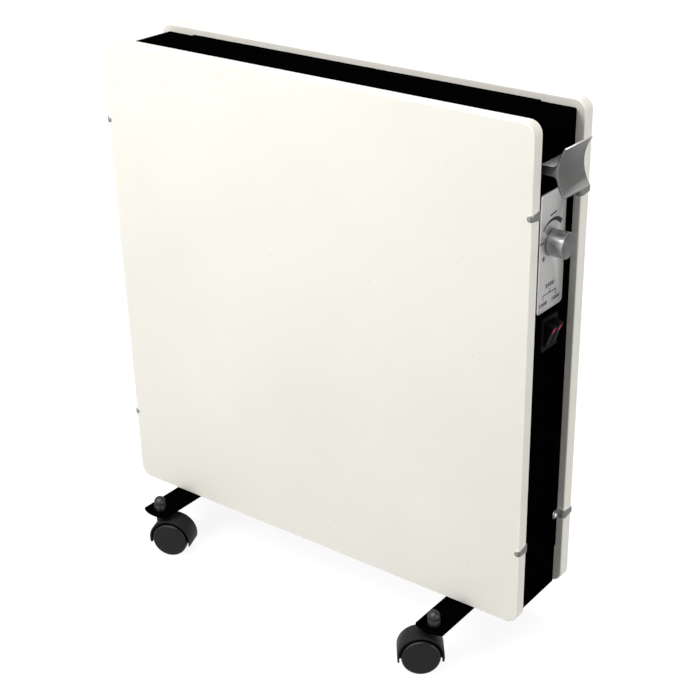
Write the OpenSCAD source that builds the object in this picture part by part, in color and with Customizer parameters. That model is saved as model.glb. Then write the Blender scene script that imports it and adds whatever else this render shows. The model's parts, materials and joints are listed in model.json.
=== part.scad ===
// Movable panel heater: two stone slabs clipped to a flat steel chassis that stands on
// two cross feet with twin-wheel castors. Millimetres, +Z up, floor at z = 0,
// front slab towards -Y, handle and controls on the +X side.

/* [Stone slabs] */
// Width of each slab
panel_w = 500; // [380:5:700]
// Height of each slab
panel_h = 500; // [470:5:700]
// Thickness of each slab
panel_t = 14; // [8:0.5:24]
// Radius of the slab's corners seen from the front
panel_corner = 12; // [5:1:40]
// Radius of the slab's rounded edges
panel_round = 1.5; // [0.5:0.5:3.5]
// How far each side edge of a slab stands beyond the chassis
side_overhang = 9; // [7:0.5:20]
// How far the top edge of a slab stands above the chassis
top_overhang = 8; // [3:0.5:20]
// How far the chassis reaches below the slabs
bottom_drop = 2; // [0:0.5:6]

/* [Chassis] */
// Distance between the two slabs
chassis_d = 72; // [66:1:100]
// Thickness of the sheet steel
sheet_t = 1.2; // [0.8:0.1:2]
// Inner radius of the chassis's folded corners
fold_r = 0.8; // [0.3:0.1:4]
// Gap between a cover's flange and the handle or control plate
flange_clear = 0.5; // [0.3:0.1:2]
// Length left free of flange at each end of a cover's top edge
top_notch = 36; // [20:1:60]
// Length left free of flange at each end of a cover's side edges
side_notch = 45; // [20:1:60]

/* [Slab clips] */
// Width of a clip at its eye
clip_w = 9; // [8:0.5:16]
// Width of a clip at its lip
clip_tip_w = 5.5; // [4:0.5:7]
// Thickness of the clip's strip
clip_t = 1.2; // [0.8:0.1:2]
// Reach of the lip over the slab's face
clip_lip = 4; // [4:0.5:9]
// Fillet of the clip's bend beside the chassis
clip_bend = 1.2; // [0.5:0.1:1.6]
// Distance of the screw from the slab's inner face
clip_eye = 6; // [5.5:0.25:7]
// Distance of each clip's centre from the slab's top or bottom edge
clip_inset = 82; // [60:1:120]

/* [Handle] */
// Length of the handle across the chassis
handle_len = 44.5; // [30:0.5:46]
// Height of the curved grip
grip_h = 43.6; // [36:0.2:50]
// Radius of the grip's hollow outer face
grip_r = 36; // [30:1:60]
// Thickness of the grip's wall
grip_t = 2; // [1.5:0.25:3]
// Distance from the chassis to the middle of the grip's outer face
grip_reach = 17.2; // [14:0.2:30]
// Thickness of the stem that carries the grip
stem_t = 8.5; // [7:0.5:12]
// Fillet between stem and grip
stem_fillet = 5; // [2:0.5:6]
// Distance of the handle's centre below the slab's top edge
handle_drop = 47.4; // [40:0.2:60]
// Distance between the two handle screws
handle_screw_pitch = 28; // [16:1:32]
// How far a handle screw reaches into the stem
handle_screw_grip = 8; // [5:0.5:9]

/* [Control plate and knob] */
// Width of the control plate
plate_w = 44; // [36:1:46]
// Height of the control plate
plate_h = 113; // [90:1:120]
// Thickness of the control plate
plate_t = 2.2; // [1:0.1:3]
// Corner radius of the control plate
plate_corner = 4; // [2:0.5:8]
// Distance of the plate's top edge below the slab's top edge
plate_drop = 71; // [71:1:90]
// Distance of the knob's axis below the plate's top edge
knob_drop = 49; // [40:1:60]
// Diameter of the knob
knob_d = 24.4; // [22:0.2:34]
// Length of the knob
knob_len = 16; // [12:0.2:24]
// Wall of the knob's skirt
knob_wall = 2; // [1.5:0.5:3]
// Wall round the knob's shaft, on the knob's hub
hub_wall = 2.2; // [1.5:0.1:3]
// Thickness of the knob's end face beyond the shaft
knob_cap = 3; // [2.4:0.2:5]
// Diameter of the knob's shaft
shaft_d = 6; // [5:0.5:6.5]
// How far the knob's shaft reaches into the chassis
shaft_inside = 14; // [8:0.5:16]

/* [Rocker switch] */
// Width of the switch's frame
bezel_w = 28; // [27:0.5:32]
// Height of the switch's frame
bezel_h = 32; // [30:0.5:40]
// How far the frame stands out of the chassis
bezel_t = 3.4; // [2.6:0.1:4.5]
// Distance of the switch's centre below the control plate's bottom edge
switch_drop = 23; // [20:1:40]
// Width of one rocker
rocker_w = 8.6; // [8:0.1:9.8]
// Thickness of the wall between the rockers
divider_t = 1.5; // [1.4:0.1:2.4]
// Thickness of the switch's side walls
switch_wall = 1.4; // [1:0.1:1.6]
// Height of one rocker
rocker_h = 22; // [18:0.5:23]
// Distance of the rocker's pivot from the frame's face
rocker_sink = 2; // [1.6:0.1:2.4]
// How far the rocker's face stands out from its pivot at the middle
rocker_face = 7.4; // [6.5:0.1:8]
// How far the rocker's raised upper end stands out from its pivot
rocker_peak = 9.5; // [8.5:0.1:11]
// Angle through which a rocker tips from off to on
rocker_throw = 16; // [10:1:18]
// Diameter of the rocker's pivot pins
rocker_pin_d = 2.4; // [1.6:0.1:3]
// How far a pivot pin reaches into the switch's wall
rocker_pin_reach = 0.55; // [0.4:0.05:0.6]
// Width of the red lens
lens_w = 4.4; // [3:0.1:6]
// Height of the red lens
lens_h = 6; // [4:0.5:6]
// Distance of the lens's centre above the rocker's middle
lens_rise = 6.2; // [5.5:0.1:6.5]
// How far the lens stands out of the rocker
lens_proud = 0.25; // [0.1:0.05:0.5]

/* [Feet] */
// Width of each cross foot
foot_w = 32; // [28:1:50]
// Thickness of each cross foot
foot_t = 3; // [2:0.5:5]
// Length of each cross foot, front tip to rear tip
foot_len = 208; // [200:1:300]
// Radius of the curved ends of a foot
foot_end_r = 35; // [26:1:60]
// Distance of a foot's centre line from the chassis's side
foot_inset = 58.5; // [30:0.5:90]
// Distance between the two screws that hold a foot
foot_screw_pitch = 44; // [30:1:50]

/* [Castors] */
// Height from the floor to the underside of the feet
castor_h = 48; // [45:0.5:52]
// Distance of a castor's axis from the tip of its foot
castor_inset = 12.3; // [10:0.1:20]
// Diameter of the wheels
wheel_d = 39; // [36:0.5:39.5]
// Width over both wheels of a castor
twin_w = 28; // [26:0.5:34]
// Radius of the wheel's rounded shoulder
wheel_round = 3; // [1:0.2:4]
// Distance of the axle behind the swivel's axis
trail = 13; // [12.5:0.25:15]
// Width of the housing's web between the wheels
web_w = 10; // [9:0.5:12]
// Width of the hood over the wheels
hood_w = 23; // [20:0.1:25]
// Gap between wheel and hood
hood_gap = 2.2; // [1:0.1:2.5]
// Thickness of the hood
hood_t = 1.7; // [1.2:0.1:2]
// Thickness of the collar on the stem, above the housing
collar_t = 1.4; // [1:0.1:2]
// Depth of the floor under the swivel pin's hole, above the axle
pin_floor = 1.5; // [1:0.1:2.5]
// Wall of a wheel behind the end of the axle
wheel_wall = 1.6; // [1:0.1:2]
// Thickness of the wheel's outer face
wheel_face = 2.6; // [2:0.1:3.5]
// Thickness of the wheel's rim
wheel_rim = 3; // [2.4:0.1:4]
// How far the hood reaches below the axle
hood_drop = 5.6; // [0:0.2:8]
// Diameter of the axle
axle_d = 5; // [4:0.5:6]
// Diameter of the swivel pin
pin_d = 6; // [5:0.5:6.5]
// Thread diameter of the castor's stem
thread_d = 8; // [6:1:8]
// Swivel angle of the front left castor, trail direction from +X
left_swivel = 22; // [0:1:90]
// Swivel angle of the front right castor, trail direction from +X
right_swivel = 217.5; // [180:0.5:260]

/* [Fasteners] */
// Width across flats of the cap nuts on the castor stems
cap_nut_af = 12.5; // [12:0.5:14]
// Height of the cap nuts
cap_nut_h = 15.5; // [12:0.5:17]
// Height of a cap nut's six-sided part
cap_hex_h = 6.5; // [5:0.5:8]
// Height of the nuts on the foot screws
foot_nut_h = 4; // [3:0.5:5]
// Diameter of the sheet metal screws
screw_d = 4; // [3:0.5:4.5]
// Diameter of the screws under the feet
foot_screw_d = 5; // [4:0.5:6]

/* [Cord inlet] */
// Diameter of the cord that the gland takes
cord_bore_d = 8; // [6:0.5:9]
// Thread diameter of the gland
gland_thread_d = 16; // [14:0.5:20]
// How far the gland stands out of the chassis
gland_reach = 9; // [7:0.5:9]
// Height of the gland's axis above the chassis's bottom
gland_rise = 41; // [36:1:60]

/* [Inside] */
// Thickness of a heating sheet
mica_t = 1.5; // [1:0.1:3]
// Distance of a heating sheet's edge from the chassis's inside
mica_margin = 40; // [35:1:80]
// Width of the heating ribbon
ribbon_w = 9; // [5:1:14]
// Distance between the runs of the heating ribbon
ribbon_pitch = 22; // [16:1:40]
// Thickness of an insulation board
wool_t = 18; // [8:1:19]
// Distance of an insulation board's edge from the chassis's inside
wool_margin = 25; // [20:1:32]
// Depth of the thermostat's case
stat_depth = 24; // [18:1:26]
// Side of the thermostat's case
stat_side = 26; // [22:1:27]
// Distance of the thermal cut-outs below the slab's top edge
cutout_drop = 125; // [100:5:150]
// Diameter of a thermal cut-out
cutout_d = 16; // [12:1:20]
// Height of a thermal cut-out
cutout_h = 7; // [5:0.5:9]
// Length of the terminal block
block_len = 42; // [30:1:60]
// Width of the terminal block
block_w = 20; // [14:1:24]
// Height of the terminal block
block_h = 16; // [12:1:22]
// Distance of the terminal block's middle from the chassis's left side
block_inset = 60; // [50:1:90]
// Diameter of the holes in the terminal block
terminal_d = 4.8; // [4:0.2:5.6]
// Diameter of the inner wires
wire_d = 3; // [2:0.5:4]
// Height of the wires' run above the terminal block
harness_rise = 14; // [10:1:30]
// Distance of the wires' rise from the thermostat
riser_gap = 14; // [10:1:30]

/* [Fits] */
// Radial clearance of a turning pin
run_gap = 0.05; // [0.02:0.01:0.1]
// Radial clearance of a screw in its hole
screw_gap = 0.2; // [0.1:0.05:0.4]
// Side clearance between parts that move past each other
side_gap = 0.4; // [0.3:0.05:0.6]
// Gap of a part that rests on its seat
seat_gap = 0.3; // [0.2:0.05:0.5]

/* [Hidden] */
$fn = 48;
stone_colour = "#F2F0E4";
black_colour = "#0B0B0C";
nylon_colour = "#2B2B2C";
alu_colour = "#8E8F8E";
plate_colour = "#B4B5B5";
steel_colour = "#85827C";
chassis_w = panel_w - 2 * side_overhang;
chassis_z0 = castor_h + foot_t;
panel_z0 = chassis_z0 + bottom_drop;
panel_z1 = panel_z0 + panel_h;
panel_zc = (panel_z0 + panel_z1) / 2;
chassis_z1 = panel_z1 - top_overhang;
chassis_zc = (chassis_z0 + chassis_z1) / 2;
chassis_h = chassis_z1 - chassis_z0;
fold_out = fold_r + sheet_t;
hole_cut = 10;
side_x = chassis_w / 2;
inner_y = chassis_d / 2;
wall_y = inner_y - sheet_t;
flange_x = side_x + sheet_t;
clip_zs = [panel_z0 + clip_inset, panel_z1 - clip_inset];
clip_eye_y = inner_y - clip_eye;
handle_z = panel_z1 - handle_drop;
grip_bow = grip_r - sqrt(grip_r * grip_r - grip_h * grip_h / 4);
plate_top = panel_z1 - plate_drop;
plate_z = plate_top - plate_h / 2;
plate_x = side_x + plate_t;
knob_z = plate_top - knob_drop;
switch_z = plate_top - plate_h - switch_drop;
gland_z = chassis_z0 + gland_rise;
flange_w = inner_y - max(handle_len, plate_w) / 2 - flange_clear;
left_reach = max(panel_w / 2 + clip_t, side_x + gland_reach);
right_reach = side_x + grip_reach + grip_bow;
mid_x = (right_reach - left_reach) / 2;
foot_x = side_x - foot_inset;
castor_y = foot_len / 2 - castor_inset;
axle_z = wheel_d / 2;
hood_r = wheel_d / 2 + hood_gap + hood_t;
boss_r = web_w / 2;
collar_r = boss_r * 1.12;
pin_bottom = axle_z + axle_d / 2 + pin_floor;
axle_len = twin_w - 2 * wheel_wall;
mica_y = wall_y - mica_t;
wool_y = mica_y - wool_t;
cutout_z = panel_z1 - cutout_drop;
neck_r = shaft_d / 2 + 1.6;
stat_x = side_x - sheet_t - stat_depth;
knob_x0 = plate_x + side_gap;
hub_r = shaft_d / 2 + hub_wall;
shaft_x0 = side_x - shaft_inside;
shaft_x1 = knob_x0 + knob_len - knob_cap;
block_x = -side_x + block_inset;
block_top = chassis_z0 + sheet_t + block_h;
harness_z = block_top + harness_rise;
riser_x = stat_x - riser_gap;
bezel_lip = 2;
switch_depth = 20;
switch_back_x = side_x - switch_depth;
rocker_pivot_x = side_x + bezel_t - rocker_sink;
rocker_y = (rocker_w + divider_t) / 2 + side_gap;
switch_body_w = 2 * (rocker_y + rocker_w / 2 + side_gap + switch_wall);
switch_body_h = bezel_h - 2 * bezel_lip;
well_w = rocker_w + 2 * side_gap;
well_h = rocker_h + 4 * side_gap;
well_depth = 6;

// Puts the drawing's middle plane at the middle of the overall width
module place() {
    translate([-mid_x, 0, 0]) children();
}

// Extrudes an outline drawn in X and Z, centred on y = 0
module along_y(depth) {
    rotate([90, 0, 0]) linear_extrude(depth, center = true) children();
}

// Extrudes an outline drawn in Y and Z towards +X
module along_x(depth) {
    rotate([90, 0, 90]) linear_extrude(depth) children();
}

// A cylinder lying along X that starts at x = 0
module rod_x(radius, depth) {
    rotate([0, 90, 0]) cylinder(r = radius, h = depth);
}

module rounded_rect(w, h, r) {
    square([w - 2 * r, h], center = true);
    square([w, h - 2 * r], center = true);
    for (x = [-1, 1], z = [-1, 1]) {
        translate([x * (w / 2 - r), z * (h / 2 - r)]) circle(r = r);
    }
}

// Slabs

module slab() {
    hull() {
        for (a = [0 : 30 : 90]) {
            inset = panel_round * (1 - cos(a));
            depth = panel_t - 2 * panel_round * (1 - sin(a));
            along_y(depth)
                rounded_rect(panel_w - 2 * inset, panel_h - 2 * inset, panel_corner - inset);
        }
    }
}

module front_panel() {
    color(stone_colour) place() translate([0, -inner_y - panel_t / 2, panel_zc]) slab();
}

module rear_panel() {
    color(stone_colour) place() translate([0, inner_y + panel_t / 2, panel_zc]) slab();
}

// Chassis and covers

module clip_screw_holes(radius) {
    for (side = [-1, 1], y = [-clip_eye_y, clip_eye_y], z = clip_zs) {
        translate([side * side_x - hole_cut / 2, y, z]) rod_x(radius, hole_cut);
    }
}

module foot_screw_holes(radius) {
    for (side = [-1, 1], y = [-1, 1]) {
        translate([side * foot_x, y * foot_screw_pitch / 2, chassis_z0 - foot_t - 1])
            cylinder(r = radius, h = foot_t + sheet_t + 2);
    }
}

module handle_screw_holes(radius) {
    for (y = [-1, 1]) {
        translate([side_x - 2 * sheet_t, y * handle_screw_pitch / 2, handle_z])
            rod_x(radius, 2 * sheet_t + handle_screw_grip);
    }
}

module chassis() {
    color(black_colour) place() difference() {
        translate([0, 0, chassis_zc]) along_y(2 * wall_y) difference() {
            rounded_rect(chassis_w, chassis_h, fold_out);
            rounded_rect(chassis_w - 2 * sheet_t, chassis_h - 2 * sheet_t, fold_r);
        }
        clip_screw_holes(screw_d / 2);
        foot_screw_holes(foot_screw_d / 2 + screw_gap);
        handle_screw_holes(screw_d / 2 + screw_gap);
        translate([side_x - hole_cut / 2, 0, knob_z]) rod_x(neck_r + screw_gap, hole_cut);
        translate([side_x - hole_cut / 2, 0, switch_z]) along_x(hole_cut)
            square([switch_body_w, switch_body_h], center = true);
        translate([-side_x - hole_cut / 2, 0, gland_z]) rod_x(gland_thread_d / 2, hole_cut);
    }
}

// A flat sheet whose top and side edges are folded over the chassis as flanges
module cover(side) {
    sheet_y = side * (inner_y - sheet_t / 2);
    flange_y = side * (inner_y - flange_w / 2);
    top_len = chassis_w - 2 * top_notch;
    side_len = chassis_h - 2 * side_notch;
    difference() {
        union() {
            translate([0, sheet_y, chassis_zc])
                along_y(sheet_t) rounded_rect(chassis_w, chassis_h, fold_out);
            // Each fold reaches into the flat sheet by its own thickness
            translate([0, sheet_y, chassis_z1]) cube([top_len, sheet_t, 2 * sheet_t], center = true);
            translate([0, flange_y, chassis_z1 + sheet_t / 2])
                cube([top_len, flange_w, sheet_t], center = true);
            for (x = [-1, 1]) {
                translate([x * side_x, sheet_y, chassis_zc])
                    cube([2 * sheet_t, sheet_t, side_len], center = true);
                translate([x * (side_x + sheet_t / 2), flange_y, chassis_zc])
                    cube([sheet_t, flange_w, side_len], center = true);
            }
        }
        clip_screw_holes(screw_d / 2 + screw_gap);
    }
}

module front_cover() {
    color(black_colour) place() cover(-1);
}

module rear_cover() {
    color(black_colour) place() cover(1);
}

// Heating sheets and insulation

// A thin board with a metal ribbon on the side of the stone
module heating_sheet(side) {
    ribbon_t = mica_t * 0.4;
    board_t = mica_t - ribbon_t;
    mica_w = chassis_w - 2 * (sheet_t + mica_margin);
    mica_h = chassis_h - 2 * (sheet_t + mica_margin);
    runs = floor((mica_h - 2 * ribbon_pitch) / ribbon_pitch / 2);
    reach = mica_w - 2 * ribbon_pitch;
    translate([0, side * (mica_y + board_t / 2), chassis_zc]) cube([mica_w, board_t, mica_h], center = true);
    translate([0, side * (wall_y - ribbon_t / 2), chassis_zc]) {
        for (i = [-runs : runs]) {
            translate([0, 0, i * ribbon_pitch]) cube([reach, ribbon_t, ribbon_w], center = true);
        }
        for (i = [-runs : runs - 1]) {
            end = (i + runs) % 2 == 0 ? 1 : -1;
            translate([end * (reach - ribbon_w) / 2, 0, (i + 0.5) * ribbon_pitch])
                cube([ribbon_w, ribbon_t, ribbon_pitch], center = true);
        }
    }
}

module front_heating_sheet() {
    color("#9A8B6C") place() heating_sheet(-1);
}

module rear_heating_sheet() {
    color("#9A8B6C") place() heating_sheet(1);
}

module insulation(side) {
    margin = sheet_t + wool_margin;
    translate([0, side * (wool_y + wool_t / 2), chassis_zc])
        cube([chassis_w - 2 * margin, wool_t, chassis_h - 2 * margin], center = true);
}

module front_insulation() {
    color("#DCD8CC") place() insulation(-1);
}

module rear_insulation() {
    color("#DCD8CC") place() insulation(1);
}

module thermal_cutouts() {
    color("#70706C") place() for (side = [-1, 1]) {
        translate([0, side * wool_y, cutout_z]) rotate([side * 90, 0, 0]) {
            cylinder(d = cutout_d, h = cutout_h * 0.6);
            cylinder(d = cutout_d * 0.7, h = cutout_h);
        }
    }
}

// Thermostat, terminals and wires

module thermostat() {
    color("#3A3A38") place() difference() {
        union() {
            translate([stat_x, 0, knob_z]) along_x(stat_depth) rounded_rect(stat_side, stat_side, 3);
            translate([stat_x + stat_depth - 1, 0, knob_z]) rod_x(neck_r, 1 + sheet_t + plate_t);
        }
        translate([shaft_x0, 0, knob_z]) rod_x(shaft_d / 2 + run_gap, stat_depth + 10);
    }
}

module terminal_block() {
    poles = 3;
    pole_pitch = block_len / poles;
    hole_y = terminal_d / 2 + 1 - block_w / 2;
    color("#D8D4C8") place() difference() {
        translate([block_x - block_len / 2, -block_w / 2, chassis_z0 + sheet_t])
            cube([block_len, block_w, block_h]);
        for (i = [0 : poles - 1]) {
            translate([block_x + (i - 1) * pole_pitch, hole_y, block_top - terminal_d])
                cylinder(d = terminal_d, h = terminal_d + 1);
        }
    }
}

// Distance of a wire from the middle plane, for lane -1, 0 or 1
function lane(i) = block_w * 0.1 + i * (wire_d + 1);

// One wire through a list of points, with round elbows
module wire(points) {
    for (i = [0 : len(points) - 2]) {
        run = points[i + 1] - points[i];
        length = norm(run);
        translate(points[i])
            rotate([0, acos(run.z / length), atan2(run.y, run.x)])
            cylinder(d = wire_d, h = length);
    }
    for (i = [1 : len(points) - 2]) {
        translate(points[i]) sphere(d = wire_d);
    }
}

module wiring() {
    pole_pitch = block_len / 3;
    step = wire_d + 1;
    color("#7A2F28") place() {
        // Feed from the outer terminals to the two poles of the switch
        for (i = [-1, 1]) {
            wire([
                [block_x + i * pole_pitch, lane(i), block_top],
                [block_x + i * pole_pitch, lane(i), harness_z - i * step],
                [riser_x + i * step, lane(i), harness_z - i * step],
                [riser_x + i * step, lane(i), switch_z - 2 * step],
                [switch_back_x, lane(i), switch_z - 2 * step]
            ]);
        }
        // Neutral from the middle terminal to the thermostat
        wire([
            [block_x, lane(0), block_top],
            [block_x, lane(0), harness_z],
            [riser_x, lane(0), harness_z],
            [riser_x, lane(0), knob_z],
            [stat_x, lane(0), knob_z]
        ]);
    }
}

// Cord inlet

// Half section of the gland: radius, then distance from the chassis's outside
module gland_profile() {
    thread_r = gland_thread_d / 2;
    flange_t = 3;
    neck_in = 9;
    difference() {
        polygon([
            [0, sheet_t + neck_in],
            [thread_r, sheet_t + neck_in],
            [thread_r, 0],
            [thread_r + 3, 0],
            [thread_r + 3, -flange_t],
            [thread_r + 2, -flange_t],
            [thread_r + 2, -gland_reach + 2],
            [thread_r, -gland_reach],
            [0, -gland_reach]
        ]);
        translate([-1, -gland_reach - 1])
            square([cord_bore_d / 2 + 1, gland_reach + sheet_t + neck_in + 2]);
    }
}

module cord_gland() {
    color(black_colour) place()
        translate([-side_x, 0, gland_z]) rotate([0, 90, 0]) rotate_extrude() gland_profile();
}

module gland_nut() {
    color(black_colour) place() translate([-side_x + sheet_t, 0, gland_z]) rotate([0, 90, 0]) difference() {
        cylinder(d = gland_thread_d + 10, h = 4, $fn = 6);
        translate([0, 0, -1]) cylinder(d = gland_thread_d, h = 6);
    }
}

// Control plate and knob

module control_plate() {
    color(plate_colour) place() difference() {
        translate([side_x, 0, plate_z]) along_x(plate_t) rounded_rect(plate_w, plate_h, plate_corner);
        translate([side_x - 1, 0, knob_z]) rod_x(neck_r + screw_gap, plate_t + 2);
    }
}

module knob() {
    chamfer = 0.7;
    color("#B9BABA") place() translate([knob_x0, 0, knob_z]) rotate([0, 90, 0]) rotate_extrude($fn = 96)
        difference() {
            polygon([
                [0, 0],
                [knob_d / 2, 0],
                [knob_d / 2, knob_len - chamfer],
                [knob_d / 2 - chamfer, knob_len],
                [0, knob_len]
            ]);
            translate([hub_r, -1]) square([knob_d / 2 - knob_wall - hub_r, knob_len - knob_wall + 1]);
            translate([0, -1]) square([shaft_d / 2, shaft_x1 - knob_x0 + 1]);
        }
}

module knob_shaft() {
    color(steel_colour) place()
        translate([shaft_x0 + seat_gap, 0, knob_z]) rod_x(shaft_d / 2, shaft_x1 - shaft_x0 - seat_gap);
}

// Rocker switch

// Side outline of a rocker about its pivot: out to the right, up to the top
module rocker_outline() {
    tip = rocker_h / 2;
    back = -2.4;
    bevel = 1.5;
    valley_z = 2;
    polygon([
        [back, bevel - tip],
        [0, -tip],
        [rocker_face - 3.2, -tip],
        [rocker_face - 2.2, bevel / 2 - tip],
        [rocker_face, valley_z],
        [rocker_peak, tip - bevel],
        [rocker_peak - 0.5, tip - bevel / 3],
        [rocker_peak - bevel, tip],
        [0, tip],
        [back, tip - bevel]
    ]);
}

module at_rocker(side) {
    translate([rocker_pivot_x, side * rocker_y, switch_z]) rotate([0, rocker_throw / 2, 0]) children();
}

module rocker(side) {
    at_rocker(side) difference() {
        union() {
            along_y(rocker_w) rocker_outline();
            rotate([90, 0, 0])
                cylinder(d = rocker_pin_d, h = well_w + 2 * rocker_pin_reach, center = true);
        }
        lens_block(0);
    }
}

// The outer layer of the rocker at the lens's place
module lens_block(proud) {
    depth = 3;
    along_y(lens_w) intersection() {
        translate([proud, 0]) rocker_outline();
        translate([rocker_face - depth, lens_rise - lens_h / 2]) square([rocker_peak, lens_h]);
    }
}

module front_rocker() {
    color("#1B1B1C") place() rocker(-1);
}

module rear_rocker() {
    color("#1B1B1C") place() rocker(1);
}

module front_lens() {
    color("#C01F3A") place() at_rocker(-1) lens_block(lens_proud);
}

module rear_lens() {
    color("#C01F3A") place() at_rocker(1) lens_block(lens_proud);
}

module switch_housing() {
    color("#1B1B1C") place() difference() {
        union() {
            translate([side_x, 0, switch_z]) along_x(bezel_t) rounded_rect(bezel_w, bezel_h, 1.5);
            translate([switch_back_x, 0, switch_z]) along_x(switch_depth)
                square([switch_body_w, switch_body_h], center = true);
        }
        for (side = [-1, 1]) {
            translate([side_x - well_depth, side * rocker_y, switch_z])
                along_x(well_depth + bezel_t + 1) square([well_w, well_h], center = true);
            translate([rocker_pivot_x, side * rocker_y, switch_z]) rotate([90, 0, 0])
                cylinder(
                    r = rocker_pin_d / 2 + run_gap,
                    h = well_w + 2 * rocker_pin_reach + 0.2,
                    center = true
                );
        }
    }
}

// Handle

// Hollow grip plate on a stem, with a fillet above and below the stem
module handle_profile() {
    centre = grip_reach + grip_r;
    back_r = grip_r + grip_t;
    stem_half = stem_t / 2;
    // The fillets end just inside the grip, so the outlines cross cleanly
    meet_r = back_r - 0.05;
    fillet_x = centre - sqrt(pow(meet_r + stem_fillet, 2) - pow(stem_half + stem_fillet, 2));
    share = stem_fillet / (meet_r + stem_fillet);
    touch_x = fillet_x + (centre - fillet_x) * share;
    touch_z = (stem_half + stem_fillet) * (1 - share);
    intersection() {
        difference() {
            translate([centre, 0]) circle(r = back_r, $fn = 128);
            translate([centre, 0]) circle(r = grip_r, $fn = 128);
        }
        translate([0, -grip_h / 2]) square([centre, grip_h]);
    }
    difference() {
        polygon([
            [0, -stem_half],
            [fillet_x, -stem_half],
            [touch_x, -touch_z],
            [touch_x + grip_t / 2, -touch_z],
            [grip_reach - grip_t / 2, 0],
            [touch_x + grip_t / 2, touch_z],
            [touch_x, touch_z],
            [fillet_x, stem_half],
            [0, stem_half]
        ]);
        for (side = [-1, 1]) {
            translate([fillet_x, side * (stem_half + stem_fillet)]) circle(r = stem_fillet, $fn = 64);
        }
    }
}

module handle() {
    color(alu_colour) place() difference() {
        translate([side_x, 0, handle_z]) along_y(handle_len) handle_profile();
        handle_screw_holes(screw_d / 2);
    }
}

module handle_screws() {
    color(steel_colour) place() for (y = [-1, 1]) {
        translate([side_x - sheet_t, y * handle_screw_pitch / 2, handle_z]) {
            rod_x(screw_d / 2, sheet_t + handle_screw_grip);
            translate([-2.4, 0, 0]) rod_x(screw_d * 0.9, 2.4);
        }
    }
}

// Slab clips

// Rectangle from the origin whose two right corners are round
module right_rounded(w, h, r) {
    square([w - r, h]);
    translate([0, r]) square([w, h - 2 * r]);
    for (y = [r, h - r]) {
        translate([w - r, y]) circle(r = r);
    }
}

// Path of the strip seen from above, for the front slab's right edge
module clip_path() {
    edge_x = panel_w / 2;
    lip_x = edge_x - clip_lip;
    face_y = -inner_y - panel_t;
    bend_w = clip_t + clip_bend;
    // From the slab's inner face round its edge to the lip on its front
    difference() {
        union() {
            translate([flange_x, face_y - clip_t])
                right_rounded(edge_x + clip_t - flange_x, panel_t + 2 * clip_t, panel_round + clip_t);
            translate([lip_x, face_y - clip_t]) square([clip_lip - panel_round, clip_t]);
        }
        translate([edge_x - side_overhang - clip_lip, face_y])
            right_rounded(side_overhang + clip_lip, panel_t, panel_round);
        translate([lip_x - side_overhang, face_y - 2 * clip_t]) square([side_overhang, 2 * clip_t]);
    }
    // Along the chassis to the screw
    translate([flange_x, -inner_y]) {
        square([clip_t, clip_eye + clip_w / 2]);
        difference() {
            square(bend_w);
            translate([bend_w, bend_w]) circle(r = clip_bend);
        }
    }
}

// Side outline of the strip in Y and Z: round eye, then a taper towards the lip
module clip_side() {
    eye_y = -clip_eye_y;
    tip_y = -inner_y - panel_t - clip_t - 1;
    translate([eye_y, 0]) circle(d = clip_w);
    polygon([
        [eye_y, -clip_w / 2],
        [eye_y, clip_w / 2],
        [-inner_y, clip_w / 2],
        [tip_y, clip_tip_w / 2],
        [tip_y, -clip_tip_w / 2],
        [-inner_y, -clip_w / 2]
    ]);
}

// Waste beside the lip's half-round end
module lip_corners() {
    edge_x = panel_w / 2;
    round_x = edge_x - clip_lip + clip_tip_w / 2;
    translate([0, -inner_y - panel_t, 0]) along_y(3 * clip_t) difference() {
        translate([edge_x - clip_lip - 1, -clip_w]) square([clip_tip_w / 2 + 1, 2 * clip_w]);
        translate([round_x, 0]) circle(d = clip_tip_w);
    }
}

module clip() {
    difference() {
        intersection() {
            linear_extrude(clip_w + 2, center = true) clip_path();
            translate([flange_x - 1, 0, 0]) rotate([90, 0, 90])
                linear_extrude(panel_w / 2 + clip_t + 2 - flange_x + clip_lip) clip_side();
        }
        lip_corners();
        translate([flange_x - 1, -clip_eye_y, 0]) rod_x(screw_d / 2 + screw_gap, clip_t + 2);
    }
}

module clips(side) {
    for (x = [0, 1], z = clip_zs) {
        translate([0, 0, z]) mirror([x, 0, 0]) mirror([0, side > 0 ? 1 : 0, 0]) clip();
    }
}

module front_clips() {
    color(steel_colour) place() clips(-1);
}

module rear_clips() {
    color(steel_colour) place() clips(1);
}

module clip_screw() {
    head_r = screw_d * 0.8;
    head_h = 1.9;
    rotate([0, 90, 0]) rotate_extrude() difference() {
        union() {
            translate([0, -clip_t - 2 * sheet_t - 4]) square([screw_d / 2, clip_t + 2 * sheet_t + 4.5]);
            intersection() {
                translate([0, head_h - head_r * 1.4]) circle(r = head_r * 1.4);
                square([head_r, head_h]);
            }
        }
        translate([-2 * head_r, -panel_t]) square([2 * head_r, 2 * panel_t]);
    }
}

module clip_screws() {
    color("#C9C9C6") place() for (x = [0, 1], y = [-1, 1], z = clip_zs) {
        mirror([x, 0, 0]) translate([flange_x + clip_t, y * clip_eye_y, z]) clip_screw();
    }
}

// Feet

module foot(side) {
    straight = foot_len / 2 - (foot_end_r - sqrt(foot_end_r * foot_end_r - foot_w * foot_w / 4));
    difference() {
        translate([side * foot_x, 0, castor_h]) linear_extrude(foot_t) {
            square([foot_w, 2 * straight], center = true);
            for (end = [0, 1]) {
                mirror([0, end]) intersection() {
                    translate([0, foot_len / 2 - foot_end_r]) circle(r = foot_end_r, $fn = 128);
                    translate([-foot_w / 2, straight - 1]) square([foot_w, foot_end_r]);
                }
            }
        }
        foot_screw_holes(foot_screw_d / 2 + screw_gap);
        for (y = [-1, 1]) {
            translate([side * foot_x, y * castor_y, castor_h - 1])
                cylinder(r = thread_d / 2 + screw_gap, h = foot_t + 2);
        }
    }
}

module left_foot() {
    color(black_colour) place() foot(-1);
}

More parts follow.
